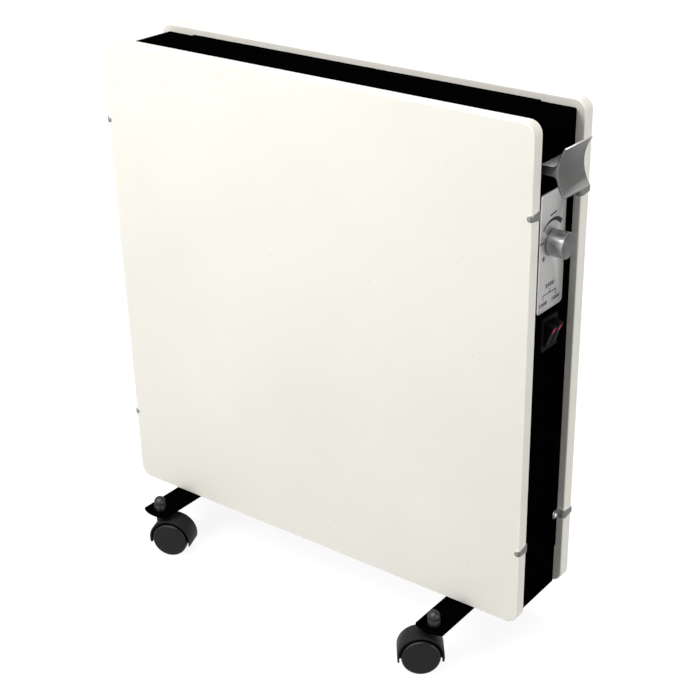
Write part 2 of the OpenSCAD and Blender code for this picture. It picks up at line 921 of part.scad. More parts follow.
module right_foot() {
    color(black_colour) place() foot(1);
}

module foot_screws() {
    color("#3C3C3C") place() for (x = [-1, 1], y = [-1, 1]) {
        translate([x * foot_x, y * foot_screw_pitch / 2, castor_h]) {
            translate([0, 0, -2.2]) cylinder(r = foot_screw_d * 0.85, h = 2.2);
            cylinder(d = foot_screw_d, h = foot_t + sheet_t + foot_nut_h + 1);
        }
    }
}

module foot_nuts() {
    color("#3C3C3C") place() for (x = [-1, 1], y = [-1, 1]) {
        translate([x * foot_x, y * foot_screw_pitch / 2, chassis_z0 + sheet_t]) difference() {
            cylinder(d = foot_screw_d * 1.85, h = foot_nut_h, $fn = 6);
            translate([0, 0, -1]) cylinder(d = foot_screw_d, h = foot_nut_h + 2);
        }
    }
}

// Castors

// Stands a castor on its place: 0 front, 1 rear; left castors on -X
module castor_place(side, rear) {
    angle = side < 0 ? left_swivel : right_swivel;
    mirror([0, rear, 0]) translate([side * foot_x, -castor_y, 0]) rotate([0, 0, angle]) children();
}

module castor_stems() {
    color(nylon_colour) place() for (side = [-1, 1], rear = [0, 1]) {
        castor_place(side, rear) {
            translate([0, 0, pin_bottom + seat_gap])
                cylinder(d = pin_d, h = castor_h - pin_bottom - seat_gap);
            translate([0, 0, castor_h - collar_t]) cylinder(r = collar_r, h = collar_t);
            translate([0, 0, castor_h - 0.5]) cylinder(d = thread_d, h = 0.5 + foot_t + cap_nut_h * 0.6);
        }
    }
}

module cap_nut() {
    dome_r = cap_nut_af / 2 - 0.2;
    chamfer_r = cap_nut_af * 0.53;
    difference() {
        union() {
            intersection() {
                cylinder(d = cap_nut_af / cos(30), h = cap_hex_h, $fn = 6);
                cylinder(r1 = chamfer_r + cap_hex_h, r2 = chamfer_r, h = cap_hex_h);
            }
            cylinder(r = dome_r, h = cap_nut_h - dome_r);
            translate([0, 0, cap_nut_h - dome_r]) sphere(r = dome_r);
        }
        translate([0, 0, -1]) cylinder(d = thread_d, h = 1 + cap_nut_h * 0.6);
    }
}

module cap_nuts() {
    color("#4A4A4A") place() for (side = [-1, 1], rear = [0, 1]) {
        castor_place(side, rear) translate([0, 0, castor_h + foot_t]) cap_nut();
    }
}

// The hood and web are one disc, cut below the axle and opened on both sides for the wheels
module castor_housing() {
    boss_top = castor_h - collar_t - seat_gap;
    span = 4 * hood_r;
    difference() {
        union() {
            translate([trail, 0, axle_z]) along_y(hood_w) circle(r = hood_r, $fn = 96);
            translate([0, 0, axle_z]) cylinder(r = boss_r, h = boss_top - axle_z);
        }
        for (y = [-1, 1]) {
            translate([trail, y * (web_w + hood_w) / 2, axle_z])
                along_y(hood_w) circle(r = hood_r - hood_t, $fn = 96);
        }
        translate([-span / 2, -span / 2, axle_z - hood_drop - span]) cube(span);
        translate([0, 0, pin_bottom]) cylinder(r = pin_d / 2 + run_gap, h = castor_h);
        translate([trail, 0, axle_z]) rotate([90, 0, 0]) cylinder(d = axle_d, h = hood_w, center = true);
    }
}

module castor_axle() {
    translate([trail, 0, axle_z]) rotate([90, 0, 0])
        cylinder(d = axle_d, h = axle_len - 2 * seat_gap, center = true);
}

// Half section of a wheel about its axle: first the radius, then the distance from the web
module wheel_section() {
    inner = web_w / 2 + side_gap;
    outer = twin_w / 2;
    bearing_r = axle_d;
    rim_r = wheel_d / 2 - wheel_rim;
    difference() {
        union() {
            translate([0, inner]) square([wheel_d / 2 - wheel_round, outer - inner]);
            translate([0, inner]) square([wheel_d / 2, outer - inner - wheel_round]);
            translate([wheel_d / 2 - wheel_round, outer - wheel_round]) circle(r = wheel_round);
        }
        translate([bearing_r, inner - 1]) square([rim_r - bearing_r, outer - wheel_face - inner + 1]);
        translate([-1, inner - 1]) square([1 + axle_d / 2 + run_gap, axle_len / 2 - inner + 1]);
    }
}

// facing is 1 for the wheel on the castor's own +Y side
module wheel(facing) {
    translate([trail, 0, axle_z]) rotate([-90 * facing, 0, 0]) rotate_extrude($fn = 96) wheel_section();
}

module housing_front_left() {
    color(nylon_colour) place() castor_place(-1, 0) castor_housing();
}

module housing_front_right() {
    color(nylon_colour) place() castor_place(1, 0) castor_housing();
}

module housing_rear_left() {
    color(nylon_colour) place() castor_place(-1, 1) castor_housing();
}

module housing_rear_right() {
    color(nylon_colour) place() castor_place(1, 1) castor_housing();
}

module axle_front_left() {
    color(steel_colour) place() castor_place(-1, 0) castor_axle();
}

module axle_front_right() {
    color(steel_colour) place() castor_place(1, 0) castor_axle();
}

module axle_rear_left() {
    color(steel_colour) place() castor_place(-1, 1) castor_axle();
}

module axle_rear_right() {
    color(steel_colour) place() castor_place(1, 1) castor_axle();
}

module wheel_front_left_inner() {
    color(nylon_colour) place() castor_place(-1, 0) wheel(1);
}

module wheel_front_left_outer() {
    color(nylon_colour) place() castor_place(-1, 0) wheel(-1);
}

module wheel_front_right_inner() {
    color(nylon_colour) place() castor_place(1, 0) wheel(-1);
}

module wheel_front_right_outer() {
    color(nylon_colour) place() castor_place(1, 0) wheel(1);
}

module wheel_rear_left_inner() {
    color(nylon_colour) place() castor_place(-1, 1) wheel(1);
}

module wheel_rear_left_outer() {
    color(nylon_colour) place() castor_place(-1, 1) wheel(-1);
}

module wheel_rear_right_inner() {
    color(nylon_colour) place() castor_place(1, 1) wheel(-1);
}

module wheel_rear_right_outer() {
    color(nylon_colour) place() castor_place(1, 1) wheel(1);
}

front_panel();
rear_panel();
chassis();
front_cover();
rear_cover();
front_heating_sheet();
rear_heating_sheet();
front_insulation();
rear_insulation();
thermal_cutouts();
thermostat();
terminal_block();
wiring();
cord_gland();
gland_nut();
control_plate();
knob();
knob_shaft();
switch_housing();
front_rocker();
rear_rocker();
front_lens();
rear_lens();
handle();
handle_screws();
front_clips();
rear_clips();
clip_screws();
left_foot();
right_foot();
foot_screws();
foot_nuts();
castor_stems();
cap_nuts();
housing_front_left();
housing_front_right();
housing_rear_left();
housing_rear_right();
axle_front_left();
axle_front_right();
axle_rear_left();
axle_rear_right();
wheel_front_left_inner();
wheel_front_left_outer();
wheel_front_right_inner();
wheel_front_right_outer();
wheel_rear_left_inner();
wheel_rear_left_outer();
wheel_rear_right_inner();
wheel_rear_right_outer();
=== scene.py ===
# %% [markdown]
# # A stone panel heater on castors
#
# Two slabs of honed white stone hang on a flat black steel chassis. Behind each slab lies an electric
# heating sheet, and the stone stores its heat. The chassis stands on two steel cross feet with
# twin-wheel castors, and the right side carries a handle, a thermostat knob and a double switch.
#
# The construction comes from a CAD model, which is loaded first and never moved. Where a CAD solid has
# the right shape it gets softened edges and a finish. Where the eye wants more, a new mesh replaces it.
# Every piece rides on a body of the model, so the castors, the knob and the rockers can still move.

# %% Load the frame
import json
import math

import bmesh
import bpy
from mathutils import Matrix, Vector

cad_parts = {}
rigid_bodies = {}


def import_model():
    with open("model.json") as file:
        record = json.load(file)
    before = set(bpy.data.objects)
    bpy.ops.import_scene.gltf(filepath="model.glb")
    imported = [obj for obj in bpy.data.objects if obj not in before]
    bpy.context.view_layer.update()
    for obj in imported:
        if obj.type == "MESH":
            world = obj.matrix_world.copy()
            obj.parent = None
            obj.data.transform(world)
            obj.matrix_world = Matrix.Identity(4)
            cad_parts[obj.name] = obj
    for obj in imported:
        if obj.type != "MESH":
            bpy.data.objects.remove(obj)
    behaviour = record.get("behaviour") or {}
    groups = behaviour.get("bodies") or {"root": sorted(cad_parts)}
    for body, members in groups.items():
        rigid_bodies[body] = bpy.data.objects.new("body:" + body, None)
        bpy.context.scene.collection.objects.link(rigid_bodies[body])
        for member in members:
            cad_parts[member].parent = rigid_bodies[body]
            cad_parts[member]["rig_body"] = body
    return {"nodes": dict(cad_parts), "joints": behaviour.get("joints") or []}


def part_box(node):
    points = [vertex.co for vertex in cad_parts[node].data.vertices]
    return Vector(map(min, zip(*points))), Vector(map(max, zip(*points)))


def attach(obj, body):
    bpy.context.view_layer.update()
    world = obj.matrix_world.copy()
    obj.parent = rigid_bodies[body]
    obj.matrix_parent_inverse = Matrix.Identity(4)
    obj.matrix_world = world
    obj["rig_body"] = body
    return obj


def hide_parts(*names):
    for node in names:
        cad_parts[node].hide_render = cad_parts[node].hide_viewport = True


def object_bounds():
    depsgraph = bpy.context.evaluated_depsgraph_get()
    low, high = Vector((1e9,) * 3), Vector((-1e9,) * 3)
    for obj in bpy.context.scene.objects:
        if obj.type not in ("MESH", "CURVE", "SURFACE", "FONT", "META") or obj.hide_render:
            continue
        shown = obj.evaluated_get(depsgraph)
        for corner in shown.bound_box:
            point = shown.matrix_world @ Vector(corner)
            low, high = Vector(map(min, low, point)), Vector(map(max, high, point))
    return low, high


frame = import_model()
cad_low, cad_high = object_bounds()
MM = 0.001
print("CAD size in mm:", [round(v / MM, 1) for v in cad_high - cad_low])

# %% [markdown]
# ## Camera
#
# The photograph was taken with a long lens from the right and above. A camera could be set by eye, but a
# square slab tells more: its edges are parallel and at right angles on the real object, so the way they
# draw together in the picture gives the lens, the place and the two angles. The picture is cropped off
# centre, so the lens has a small shift.

# %% Camera
PICTURE_SIDE_PX = 696
FOCAL_LENGTH_PX = 1446.8
PRINCIPAL_POINT_PX = (413.63, 369.96)
CAMERA_FROM_SLABS_MM = (825.66, -1041.50, 849.90)
CAMERA_AZIMUTH = 35.09
CAMERA_ELEVATION = 26.65
SENSOR_MM = 36
NEAREST_M = 0.05

slab_low, slab_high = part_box("front_panel")
slabs_foot = Vector(((slab_low.x + slab_high.x) / 2, 0, slab_low.z))
camera = bpy.data.objects.new("camera", bpy.data.cameras.new("camera"))
bpy.context.scene.collection.objects.link(camera)
camera.data.sensor_width = SENSOR_MM
camera.data.lens = FOCAL_LENGTH_PX / PICTURE_SIDE_PX * SENSOR_MM
camera.data.shift_x = 0.5 - PRINCIPAL_POINT_PX[0] / PICTURE_SIDE_PX
camera.data.shift_y = PRINCIPAL_POINT_PX[1] / PICTURE_SIDE_PX - 0.5
camera.data.clip_start = NEAREST_M
camera.location = slabs_foot + Vector(CAMERA_FROM_SLABS_MM) * MM
camera.rotation_euler = (math.radians(90 - CAMERA_ELEVATION), 0, math.radians(CAMERA_AZIMUTH))
bpy.context.scene.camera = camera
bpy.context.scene.view_settings.view_transform = "Standard"
print("Lens in mm:", round(camera.data.lens, 2))

# %% [markdown]
# ## Helpers for nodes
#
# Colours are written as sRGB hex values, the way a paint card or a screen shows them, and one function
# turns them to the linear values that the renderer adds up. Another adds a node of any kind, sets its
# properties and fills its sockets with numbers or with other nodes' outputs, so that a tree reads from
# top to bottom in the order in which it works. It serves shaders and Geometry Nodes alike.

# %% Colours and nodes
def linear(hex_colour):
    """Linear RGBA of an sRGB colour such as #A0B1C2."""
    parts = [int(hex_colour[i:i + 2], 16) / 255 for i in (1, 3, 5)]
    return tuple(c / 12.92 if c <= 0.04045 else ((c + 0.055) / 1.055) ** 2.4 for c in parts) + (1.0,)


def add(tree, kind, sockets=None, stops=(), **settings):
    """Adds one node; sockets maps an input's name or number to a value or an output, stops fill a ramp."""
    node = tree.nodes.new(kind)
    for name, value in settings.items():
        setattr(node, name, value)
    for socket, value in (sockets or {}).items():
        if isinstance(value, bpy.types.NodeSocket):
            tree.links.new(value, node.inputs[socket])
        else:
            node.inputs[socket].default_value = value
    if stops:
        points = node.color_ramp.elements
        points[0].position, points[0].color = stops[0][0], linear(stops[0][1])
        points[1].position, points[1].color = stops[-1][0], linear(stops[-1][1])
        for place, colour in stops[1:-1]:
            points.new(place).color = linear(colour)
    return node


print("Mid grey #808080 in linear light:", round(linear("#808080")[0], 3))

# %% [markdown]
# ## Helpers for materials
#
# Every finish starts from the Principled shader with values that are typical for its material. Each then
# needs a relief far too fine for its mesh, and most let one pattern drive the relief and the roughness
# together, so that gloss breaks up where the surface does. The Mix node has several sockets of one name,
# so its colour sockets are reached by number.

# %% Materials
MIX_A, MIX_B, MIX_RESULT = 6, 7, 2


def new_material(name, base, roughness, metallic=0.0, specular=0.5):
    """A Principled material; returns it, its tree, its shader and the object's own coordinates."""
    material = bpy.data.materials.new(name)
    material.use_nodes = True
    tree = material.node_tree
    shader = tree.nodes["Principled BSDF"]
    shader.inputs["Base Color"].default_value = linear(base)
    shader.inputs["Roughness"].default_value = roughness
    shader.inputs["Metallic"].default_value = metallic
    shader.inputs["Specular IOR Level"].default_value = specular
    place = add(tree, "ShaderNodeTexCoord").outputs["Object"]
    return material, tree, shader, place


def emboss(tree, shader, pattern, depth_mm, strength=1.0, contrast=0.0):
    """Gives a finish the relief of a 0 to 1 pattern, and lets its roughness vary by a contrast with it."""
    if contrast:
        middle = shader.inputs["Roughness"].default_value
        spread = {"Value": pattern, "To Min": middle - contrast, "To Max": middle + contrast}
        rough = add(tree, "ShaderNodeMapRange", spread).outputs["Result"]
        tree.links.new(rough, shader.inputs["Roughness"])
    relief = add(tree, "ShaderNodeBump", {"Height": pattern, "Strength": strength, "Distance": depth_mm * MM})
    tree.links.new(relief.outputs["Normal"], shader.inputs["Normal"])


print("Materials at the start:", len(bpy.data.materials))

# %% [markdown]
# ## World and floor
#
# The product stands in a white photo studio. A white background could come from strong light, but that
# would bleach the object too. Here the floor and the world are white only to the rays that see them, from
# the camera or by way of a gloss, and light matt surfaces at a plain level, so that each colour renders
# about as it is written.

# %% World
world = bpy.data.worlds.new("studio")
bpy.context.scene.world = world
world.use_nodes = True
WORLD_LIGHT = 0.165


def seen_rays(tree):
    """1 for camera, glossy and transmission rays, 0 for rays that light a matt surface."""
    rays = add(tree, "ShaderNodeLightPath").outputs
    seen = rays["Is Camera Ray"]
    for ray in ("Is Glossy Ray", "Is Transmission Ray"):
        seen = add(tree, "ShaderNodeMath", {0: seen, 1: rays[ray]}, operation="MAXIMUM").outputs[0]
    return seen


tree = world.node_tree
background = tree.nodes["Background"]
background.inputs["Color"].default_value = (1, 1, 1, 1)
strength = add(tree, "ShaderNodeMapRange", {"Value": seen_rays(tree), "To Min": WORLD_LIGHT, "To Max": 1.0})
tree.links.new(strength.outputs["Result"], background.inputs["Strength"])
print("World light on matt surfaces:", WORLD_LIGHT)

# %% Floor
# White vinyl from a roll, matt: its grey takes the object's shadow, and a glow that only the rays that
# see it meet brings it up to paper white.
FLOOR_SIDE_M = 24
FLOOR_GLOW = 0.875
floor_mesh = bpy.data.meshes.new("floor")
reach = FLOOR_SIDE_M / 2
floor_mesh.from_pydata(
    [(-reach, -reach, 0), (reach, -reach, 0), (reach, reach, 0), (-reach, reach, 0)], [], [(0, 1, 2, 3)]
)
floor = bpy.data.objects.new("floor", floor_mesh)
bpy.context.scene.collection.objects.link(floor)

floor_material, tree, shader, _ = new_material("white_vinyl", "#8A8A8A", 0.7, specular=0.1)
glow = add(tree, "ShaderNodeMath", {0: seen_rays(tree), 1: FLOOR_GLOW}, operation="MULTIPLY").outputs[0]
shader.inputs["Emission Color"].default_value = (1, 1, 1, 1)
tree.links.new(glow, shader.inputs["Emission Strength"])
floor_mesh.materials.append(floor_material)
print("Floor side in m:", FLOOR_SIDE_M)

# %% [markdown]
# ## Lamps
#
# Soft light comes from area lamps. One high on the left makes the slab brightest at its top left corner,
# a low one in front evens it out, a soft box above lights the top edges, and weaker lamps fill the right
# side and the back. Metal and gloss need something to mirror, so a card and two small glints show in
# reflections only. They add nothing to a matt surface.

# %% Lamps
OBJECT_MIDDLE = (cad_low + cad_high) / 2


def add_lamp(name, place_m, side_m, watts, mirrored=True, lighting=True):
    """A square area lamp that faces the object: it shows in gloss, lights matt surfaces, or both."""
    lamp = bpy.data.lights.new(name, "AREA")
    lamp.size = side_m
    lamp.energy = watts
    holder = bpy.data.objects.new(name, lamp)
    holder.visible_camera = False
    holder.visible_glossy = mirrored
    holder.visible_diffuse = lighting
    bpy.context.scene.collection.objects.link(holder)
    holder.location = place_m
    holder.rotation_euler = (Vector(place_m) - OBJECT_MIDDLE).to_track_quat("Z", "Y").to_euler()
    print("Lamp:", name, watts, "W")


add_lamp("key_left", (-0.35, -1.0, 1.2), 0.7, 9.3)
add_lamp("low_front", (-0.5, -3.2, 0.3), 1.4, 57, mirrored=False)
add_lamp("top_box", (0.1, 0.1, 2.4), 1.6, 24.5)
add_lamp("right_fill", (2.45, 0.0, 0.5), 1.2, 24)
add_lamp("front_glint", (0.45, -1.0, 1.6), 0.4, 11, lighting=False)
add_lamp("back_fill", (0.4, 3.2, 0.3), 1.4, 60, mirrored=False)
add_lamp("rear_glint", (-0.9, 1.6, 1.5), 0.8, 14, lighting=False)
add_lamp("left_card", (-0.55, -1.6, 1.55), 3.0, 50, lighting=False)

# %% [markdown]
# ## Finishes
#
# Each finish is named for what the real part is made of and how its surface was made. Patterns read
# the object's own coordinates in metres, so their scale is worked out from a size in millimetres, and
# they stay on a part when it moves. Some colours are painted light that goes with the way a surface
# faces: a painted highlight on an edge or rim, and metals painted lighter where they face up. Lamps alone
# can't do that for every metal at once, so a small helper reads the direction from the normal.

# %% [markdown]
# ### Stone
#
# The slabs are limestone that was sawn and honed with a fine disc. It is matt and cream white, with soft
# clouds as wide as a hand, a fine grain and a few pits of a millimetre or two. A picture of stone would
# repeat and show seams, so noise makes the clouds and the grain. The point of each Voronoi cell stands for
# a small bubble in the rock, which shows as a pit only where the saw cut through it. The rounded front and
# back edges get a painted highlight, paler than the face, where the normal lies between Y and the rim. The
# grain of such stone is finer than a millimetre, and it is drawn coarser so that it shows.

# %% Honed white stone
CLOUD_MM = 160
GRAIN_MM = 2.5
honed_stone, tree, shader, place = new_material("honed_white_limestone", "#F3F0E6", 0.5, specular=0.35)
cloud = add(tree, "ShaderNodeTexNoise", {"Vector": place, "Scale": 1 / (CLOUD_MM * MM), "Detail": 3.0})
grain = add(tree, "ShaderNodeTexNoise", {"Vector": place, "Scale": 1 / (GRAIN_MM * MM), "Detail": 4.0})
cloudy = add(
    tree, "ShaderNodeValToRGB", {"Fac": cloud.outputs["Fac"]}, stops=[(0.3, "#F1EEE3"), (0.7, "#F6F3EA")]
).outputs["Color"]
print("Stone clouds and grain in mm:", CLOUD_MM, GRAIN_MM)

# %% Pits in the stone
# A pit is full within the smaller distance from its cell's point, and ends at the larger one
PIT_CELL_MM = 22
PIT_FULL_MM, PIT_END_MM = 0.44, 1.32
pit = add(tree, "ShaderNodeTexVoronoi", {"Vector": place, "Scale": 1 / (PIT_CELL_MM * MM), "Randomness": 1.0})
in_pit = add(
    tree,
    "ShaderNodeMapRange",
    {
        "Value": pit.outputs["Distance"],
        "From Min": PIT_FULL_MM / PIT_CELL_MM,
        "From Max": PIT_END_MM / PIT_CELL_MM,
        "To Min": 1.0,
        "To Max": 0.0,
    },
).outputs["Result"]
pitted = add(
    tree, "ShaderNodeMix", {"Factor": in_pit, MIX_A: cloudy, MIX_B: linear("#E6E1D4")}, data_type="RGBA"
).outputs[MIX_RESULT]
dug = add(tree, "ShaderNodeMath", {0: in_pit, 1: -1.0, 2: grain.outputs["Fac"]}, operation="MULTIPLY_ADD")
emboss(tree, shader, dug.outputs[0], depth_mm=0.12, strength=0.6)
print("Pits up to this wide in mm:", 2 * PIT_END_MM)

# %% Painted highlight on the stone's edges
def facing(tree, axis):
    """How far the surface faces along the object's own X, Y or Z, up to 1, or against it, as in -Y."""
    normal = add(tree, "ShaderNodeTexCoord").outputs["Normal"]
    part = add(tree, "ShaderNodeSeparateXYZ", {0: normal}).outputs[axis[-1]]
    if axis[0] == "-":
        part = add(tree, "ShaderNodeMath", {0: part, 1: -1.0}, operation="MULTIPLY").outputs[0]
    return part


# Painted highlight: the rounded front and back edges get a paler tone where the normal lies between Y and the
# rim
EDGE_HIGHLIGHT_MASK = [(0.1, "#000000"), (0.35, "#FFFFFF"), (0.93, "#FFFFFF"), (0.99, "#000000")]
towards_y = add(tree, "ShaderNodeMath", {0: facing(tree, "Y")}, operation="ABSOLUTE").outputs[0]
painted_edge_highlight = add(tree, "ShaderNodeValToRGB", {"Fac": towards_y}, stops=EDGE_HIGHLIGHT_MASK).outputs["Color"]
highlighted_edges = add(
    tree, "ShaderNodeMix", {"Factor": painted_edge_highlight, MIX_A: pitted, MIX_B: linear("#FFFDF6")}, data_type="RGBA"
)
tree.links.new(highlighted_edges.outputs[MIX_RESULT], shader.inputs["Base Color"])
print("Stone nodes:", len(tree.nodes))

# %% [markdown]
# ### Powder coat
#
# The chassis, its covers and the feet are sheet steel with polyester powder baked on. It is deep black
# and matt, and the melted powder leaves a faint orange peel. A mesh would need millions of faces for
# relief of a few hundredths of a millimetre, so a smooth noise gives it as bump.

# %% Black powder coat
PEEL_MM = 1.4
powder_coat, tree, shader, place = new_material("black_powder_coat", "#030303", 0.65, specular=0.0)
peel = add(tree, "ShaderNodeTexNoise", {"Vector": place, "Scale": 1 / (PEEL_MM * MM), "Detail": 2.0})
emboss(tree, shader, peel.outputs["Fac"], depth_mm=0.03)
print("Orange peel in mm:", PEEL_MM)

# %% [markdown]
# ### Brushed metals
#
# The clips, the handle, the control plate, the screws and the nuts are metals whose surface was rolled,
# extruded or brushed along one direction. An anisotropic shader alone would give a smooth sheen without
# streaks. Noise that is stretched along the part gives streaks of its own, in roughness and relief.
# Scratches are finer than a picture can show, so they are drawn half a millimetre wide.

# %% Brushed metals
STREAK_MM = 0.5
STREAK_LENGTH_MM = 14


def brushed(name, base, roughness, along, depth_mm=0.01, contrast=0.12, painted_tones=()):
    """A metal with fine streaks along one axis: 0 is X, 1 is Y and 2 is Z.

    painted_tones are pairs of an axis and ramp stops: faces towards that axis get another tone as painted
    light, a lighter upper face as if lit from above or a painted highlight on an edge. The lightest tone
    wins.
    """
    material, tree, shader, place = new_material(name, base, roughness, metallic=1.0)
    lightest = None
    for axis, stops in painted_tones:
        tone = add(tree, "ShaderNodeValToRGB", {"Fac": facing(tree, axis)}, stops=stops).outputs["Color"]
        if lightest:
            both = {"Factor": 1.0, MIX_A: lightest, MIX_B: tone}
            mixed = add(tree, "ShaderNodeMix", both, data_type="RGBA", blend_type="LIGHTEN")
            tone = mixed.outputs[MIX_RESULT]
        lightest = tone
        tree.links.new(tone, shader.inputs["Base Color"])
    scale = [1 / (STREAK_MM * MM)] * 3
    scale[along] = 1 / (STREAK_LENGTH_MM * MM)
    stretched = add(tree, "ShaderNodeMapping", {"Vector": place, "Scale": scale})
    streaks = add(tree, "ShaderNodeTexNoise", {"Vector": stretched.outputs[0], "Scale": 1.0, "Detail": 3.0})
    emboss(tree, shader, streaks.outputs["Fac"], depth_mm, contrast=contrast)
    return material


print("Streaks in mm:", STREAK_MM, "by", STREAK_LENGTH_MM)

# %% Metals of the clips, the handle and the plate
# Stainless steel strip, brushed and then bent: a little warm, with painted highlights on upper faces and
# front ends
CLIP_PAINTED_LIGHT = [
    ("Z", [(0.15, "#666663"), (0.75, "#C8C8C4")]),
    ("-Y", [(0.8, "#000000"), (0.97, "#8A8A86")]),
]
clip_steel = brushed("brushed_stainless_strip", "#666663", 0.4, 1, painted_tones=CLIP_PAINTED_LIGHT)

# Aluminium, extruded, blasted and anodised: dull grey with hardly a streak, painted lighter where it faces up
# or to the front
GRIP_PAINTED_LIGHT = [
    ("Z", [(0.1, "#545453"), (0.42, "#5C5C5B"), (0.58, "#9C9C9B"), (0.95, "#B4B4B2")]),
    ("-Y", [(0.85, "#000000"), (0.97, "#707070")]),
]
handle_metal = brushed(
    "extruded_aluminium", "#5C5C5B", 0.45, 1, depth_mm=0.003, contrast=0.03, painted_tones=GRIP_PAINTED_LIGHT
)

# Aluminium sheet, brushed upright and anodised: silver grey, with a painted highlight that makes the rim
# brighter than the face
PLATE_PAINTED_RIM_HIGHLIGHT = [("X", [(0.8, "#D0D0D0"), (0.97, "#A4A4A3")])]
plate_metal = brushed("brushed_aluminium_plate", "#9B9B9A", 0.45, 2, painted_tones=PLATE_PAINTED_RIM_HIGHLIGHT)
print("Metals with tones:", [metal.name for metal in (clip_steel, handle_metal, plate_metal)])

# %% Metals of the screws and the nuts
# Steel with bright zinc, from the plating bath: the lightest metal here, and the glossiest
screw_zinc = brushed("bright_zinc_screw", "#B4B4B0", 0.3, 1)

# Steel with black oxide, turned and then blackened: dark grey with a soft shine
nut_steel = brushed("black_oxide_steel", "#363636", 0.42, 2)

# Rolled steel without a coat, on what the chassis hides: grey and slightly warm
inner_steel = brushed("plain_steel", "#85827C", 0.4, 2)
print("Plain metals:", [metal.name for metal in (screw_zinc, nut_steel, inner_steel)])

# %% [markdown]
# ### Turned metal
#
# The knob was turned from an aluminium bar. The tool leaves fine grooves round the side and rings on the
# face, so a light spreads across them and stays narrow along them, which is what the shader's
# anisotropy does once it knows the direction round the axis. The face is painted darker than the side, as
# painted shade on the same metal. A lathe's grooves are far finer than the half millimetre that is drawn
# here so that they show.

# %% Turned knob metal
knob_low, knob_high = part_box("knob")
knob_axis = Vector((0, (knob_low.y + knob_high.y) / 2, (knob_low.z + knob_high.z) / 2))
knob_metal, tree, shader, place = new_material("turned_aluminium", "#A0A0A0", 0.35, metallic=1.0)
# Painted light and shade: the side gets a lighter tone and the face a darker one, though both are the same
# metal
painted_side_and_face = [(0.3, "#A0A0A0"), (0.8, "#585858")]
tone = add(tree, "ShaderNodeValToRGB", {"Fac": facing(tree, "X")}, stops=painted_side_and_face).outputs["Color"]
tree.links.new(tone, shader.inputs["Base Color"])
print("Knob across in mm:", round((knob_high.y - knob_low.y) / MM, 1))

# %% Grooves of the knob
# At scale 1 the wave texture runs through 20 radians in one unit
GROOVE_MM = 0.5
WAVE_RADIANS = 20
centred = add(tree, "ShaderNodeMapping", {"Vector": place, "Location": -knob_axis}).outputs[0]
waved = {"Vector": centred, "Scale": 2 * math.pi / (WAVE_RADIANS * GROOVE_MM * MM)}
grooves = add(tree, "ShaderNodeTexWave", waved, wave_type="BANDS", bands_direction="X")
rings = add(tree, "ShaderNodeTexWave", waved, wave_type="RINGS", rings_direction="X")
turned = add(tree, "ShaderNodeMath", {0: grooves.outputs["Fac"], 1: rings.outputs["Fac"]}, operation="ADD")
emboss(tree, shader, turned.outputs[0], depth_mm=0.004)
print("Knob grooves and rings in mm:", GROOVE_MM)

# %% Spread of the knob's highlight
# A quarter turn lays the highlight across the grooves
shader.inputs["Anisotropic"].default_value = 0.8
shader.inputs["Anisotropic Rotation"].default_value = 0.25
around = add(tree, "ShaderNodeTangent", direction_type="RADIAL", axis="X")
tree.links.new(around.outputs[0], shader.inputs["Tangent"])
print("Nodes of the knob's metal:", len(tree.nodes))

# %% [markdown]
# ### Moulded and pressed materials
#
# The castors are nylon, the switch is ABS with lenses of red polycarbonate, and inside lie pressed boards,
# a ceramic block and sleeved wires. A mould's spark-eroded wall leaves an even grain that breaks up the
# gloss a little, and pressed materials have a coarser one, so one function serves them all with the
# grain's size and depth. Mould grain is about a tenth of a millimetre and is drawn coarser to show.

# %% Moulded materials
GRAIN_CONTRAST = 0.06


def moulded(name, base, roughness, grain_mm=0.6, depth_mm=0.015, specular=0.4):
    """A moulded or pressed material with a fine even grain."""
    material, tree, shader, place = new_material(name, base, roughness, specular=specular)
    texture = add(tree, "ShaderNodeTexNoise", {"Vector": place, "Scale": 1 / (grain_mm * MM), "Detail": 3.0})
    emboss(tree, shader, texture.outputs["Fac"], depth_mm, contrast=GRAIN_CONTRAST)
    return material


print("Roughness of a moulded material varies by:", GRAIN_CONTRAST)

# %% Plastics that show
# Nylon for the castors' hoods, from a blasted mould: deep grey and satin
hood_nylon = moulded("black_castor_nylon", "#1E1E1E", 0.5, specular=0.1)

# Nylon for the wheels, from a polished mould: darker, with a clearer shine
wheel_nylon = moulded("grey_wheel_nylon", "#0C0C0C", 0.33, specular=0.2)

# Nylon for the gland, as it comes from a plain mould: nearly black and satin
gland_nylon = moulded("black_gland_nylon", "#121212", 0.5)

# ABS for the switch, from an etched mould: black with hardly any gloss
switch_abs = moulded("black_switch_abs", "#0F0F0F", 0.5, grain_mm=0.4, depth_mm=0.006, specular=0.02)

# Polycarbonate lenses, moulded in red right through: smooth, deep and a little wavy
lens_plastic = moulded("red_polycarbonate_lens", "#B0124A", 0.3, grain_mm=2.0, depth_mm=0.004, specular=0.03)

# Screen ink, printed and baked: a matt film, almost black
print_ink = moulded("dark_print_ink", "#0E0F10", 0.6, grain_mm=0.3, depth_mm=0.004, specular=0.2)
print("Plastics:", [plastic.name for plastic in (hood_nylon, wheel_nylon, gland_nylon, switch_abs)])

# %% Materials that are hidden
# Mica board, pressed from flakes: tan, with a slightly uneven sheen
mica_board = moulded("mica_board", "#9A8B6C", 0.6, grain_mm=1.5, depth_mm=0.03)

# Mineral wool board, pressed from fibres: pale and dull
mineral_wool = moulded("mineral_wool_board", "#DCD8CC", 0.9, grain_mm=1.0, depth_mm=0.3, specular=0.1)

# Steatite, a pressed ceramic with a glaze: off-white and glossy
ceramic_block = moulded("glazed_steatite", "#D8D4C8", 0.3, grain_mm=1.0, depth_mm=0.01)

# Silicone sleeves, extruded: brick red with a soft sheen
wire_sleeve = moulded("silicone_wire_sleeve", "#7A2F28", 0.5, grain_mm=0.5, depth_mm=0.01)
print("Materials so far:", len(bpy.data.materials))

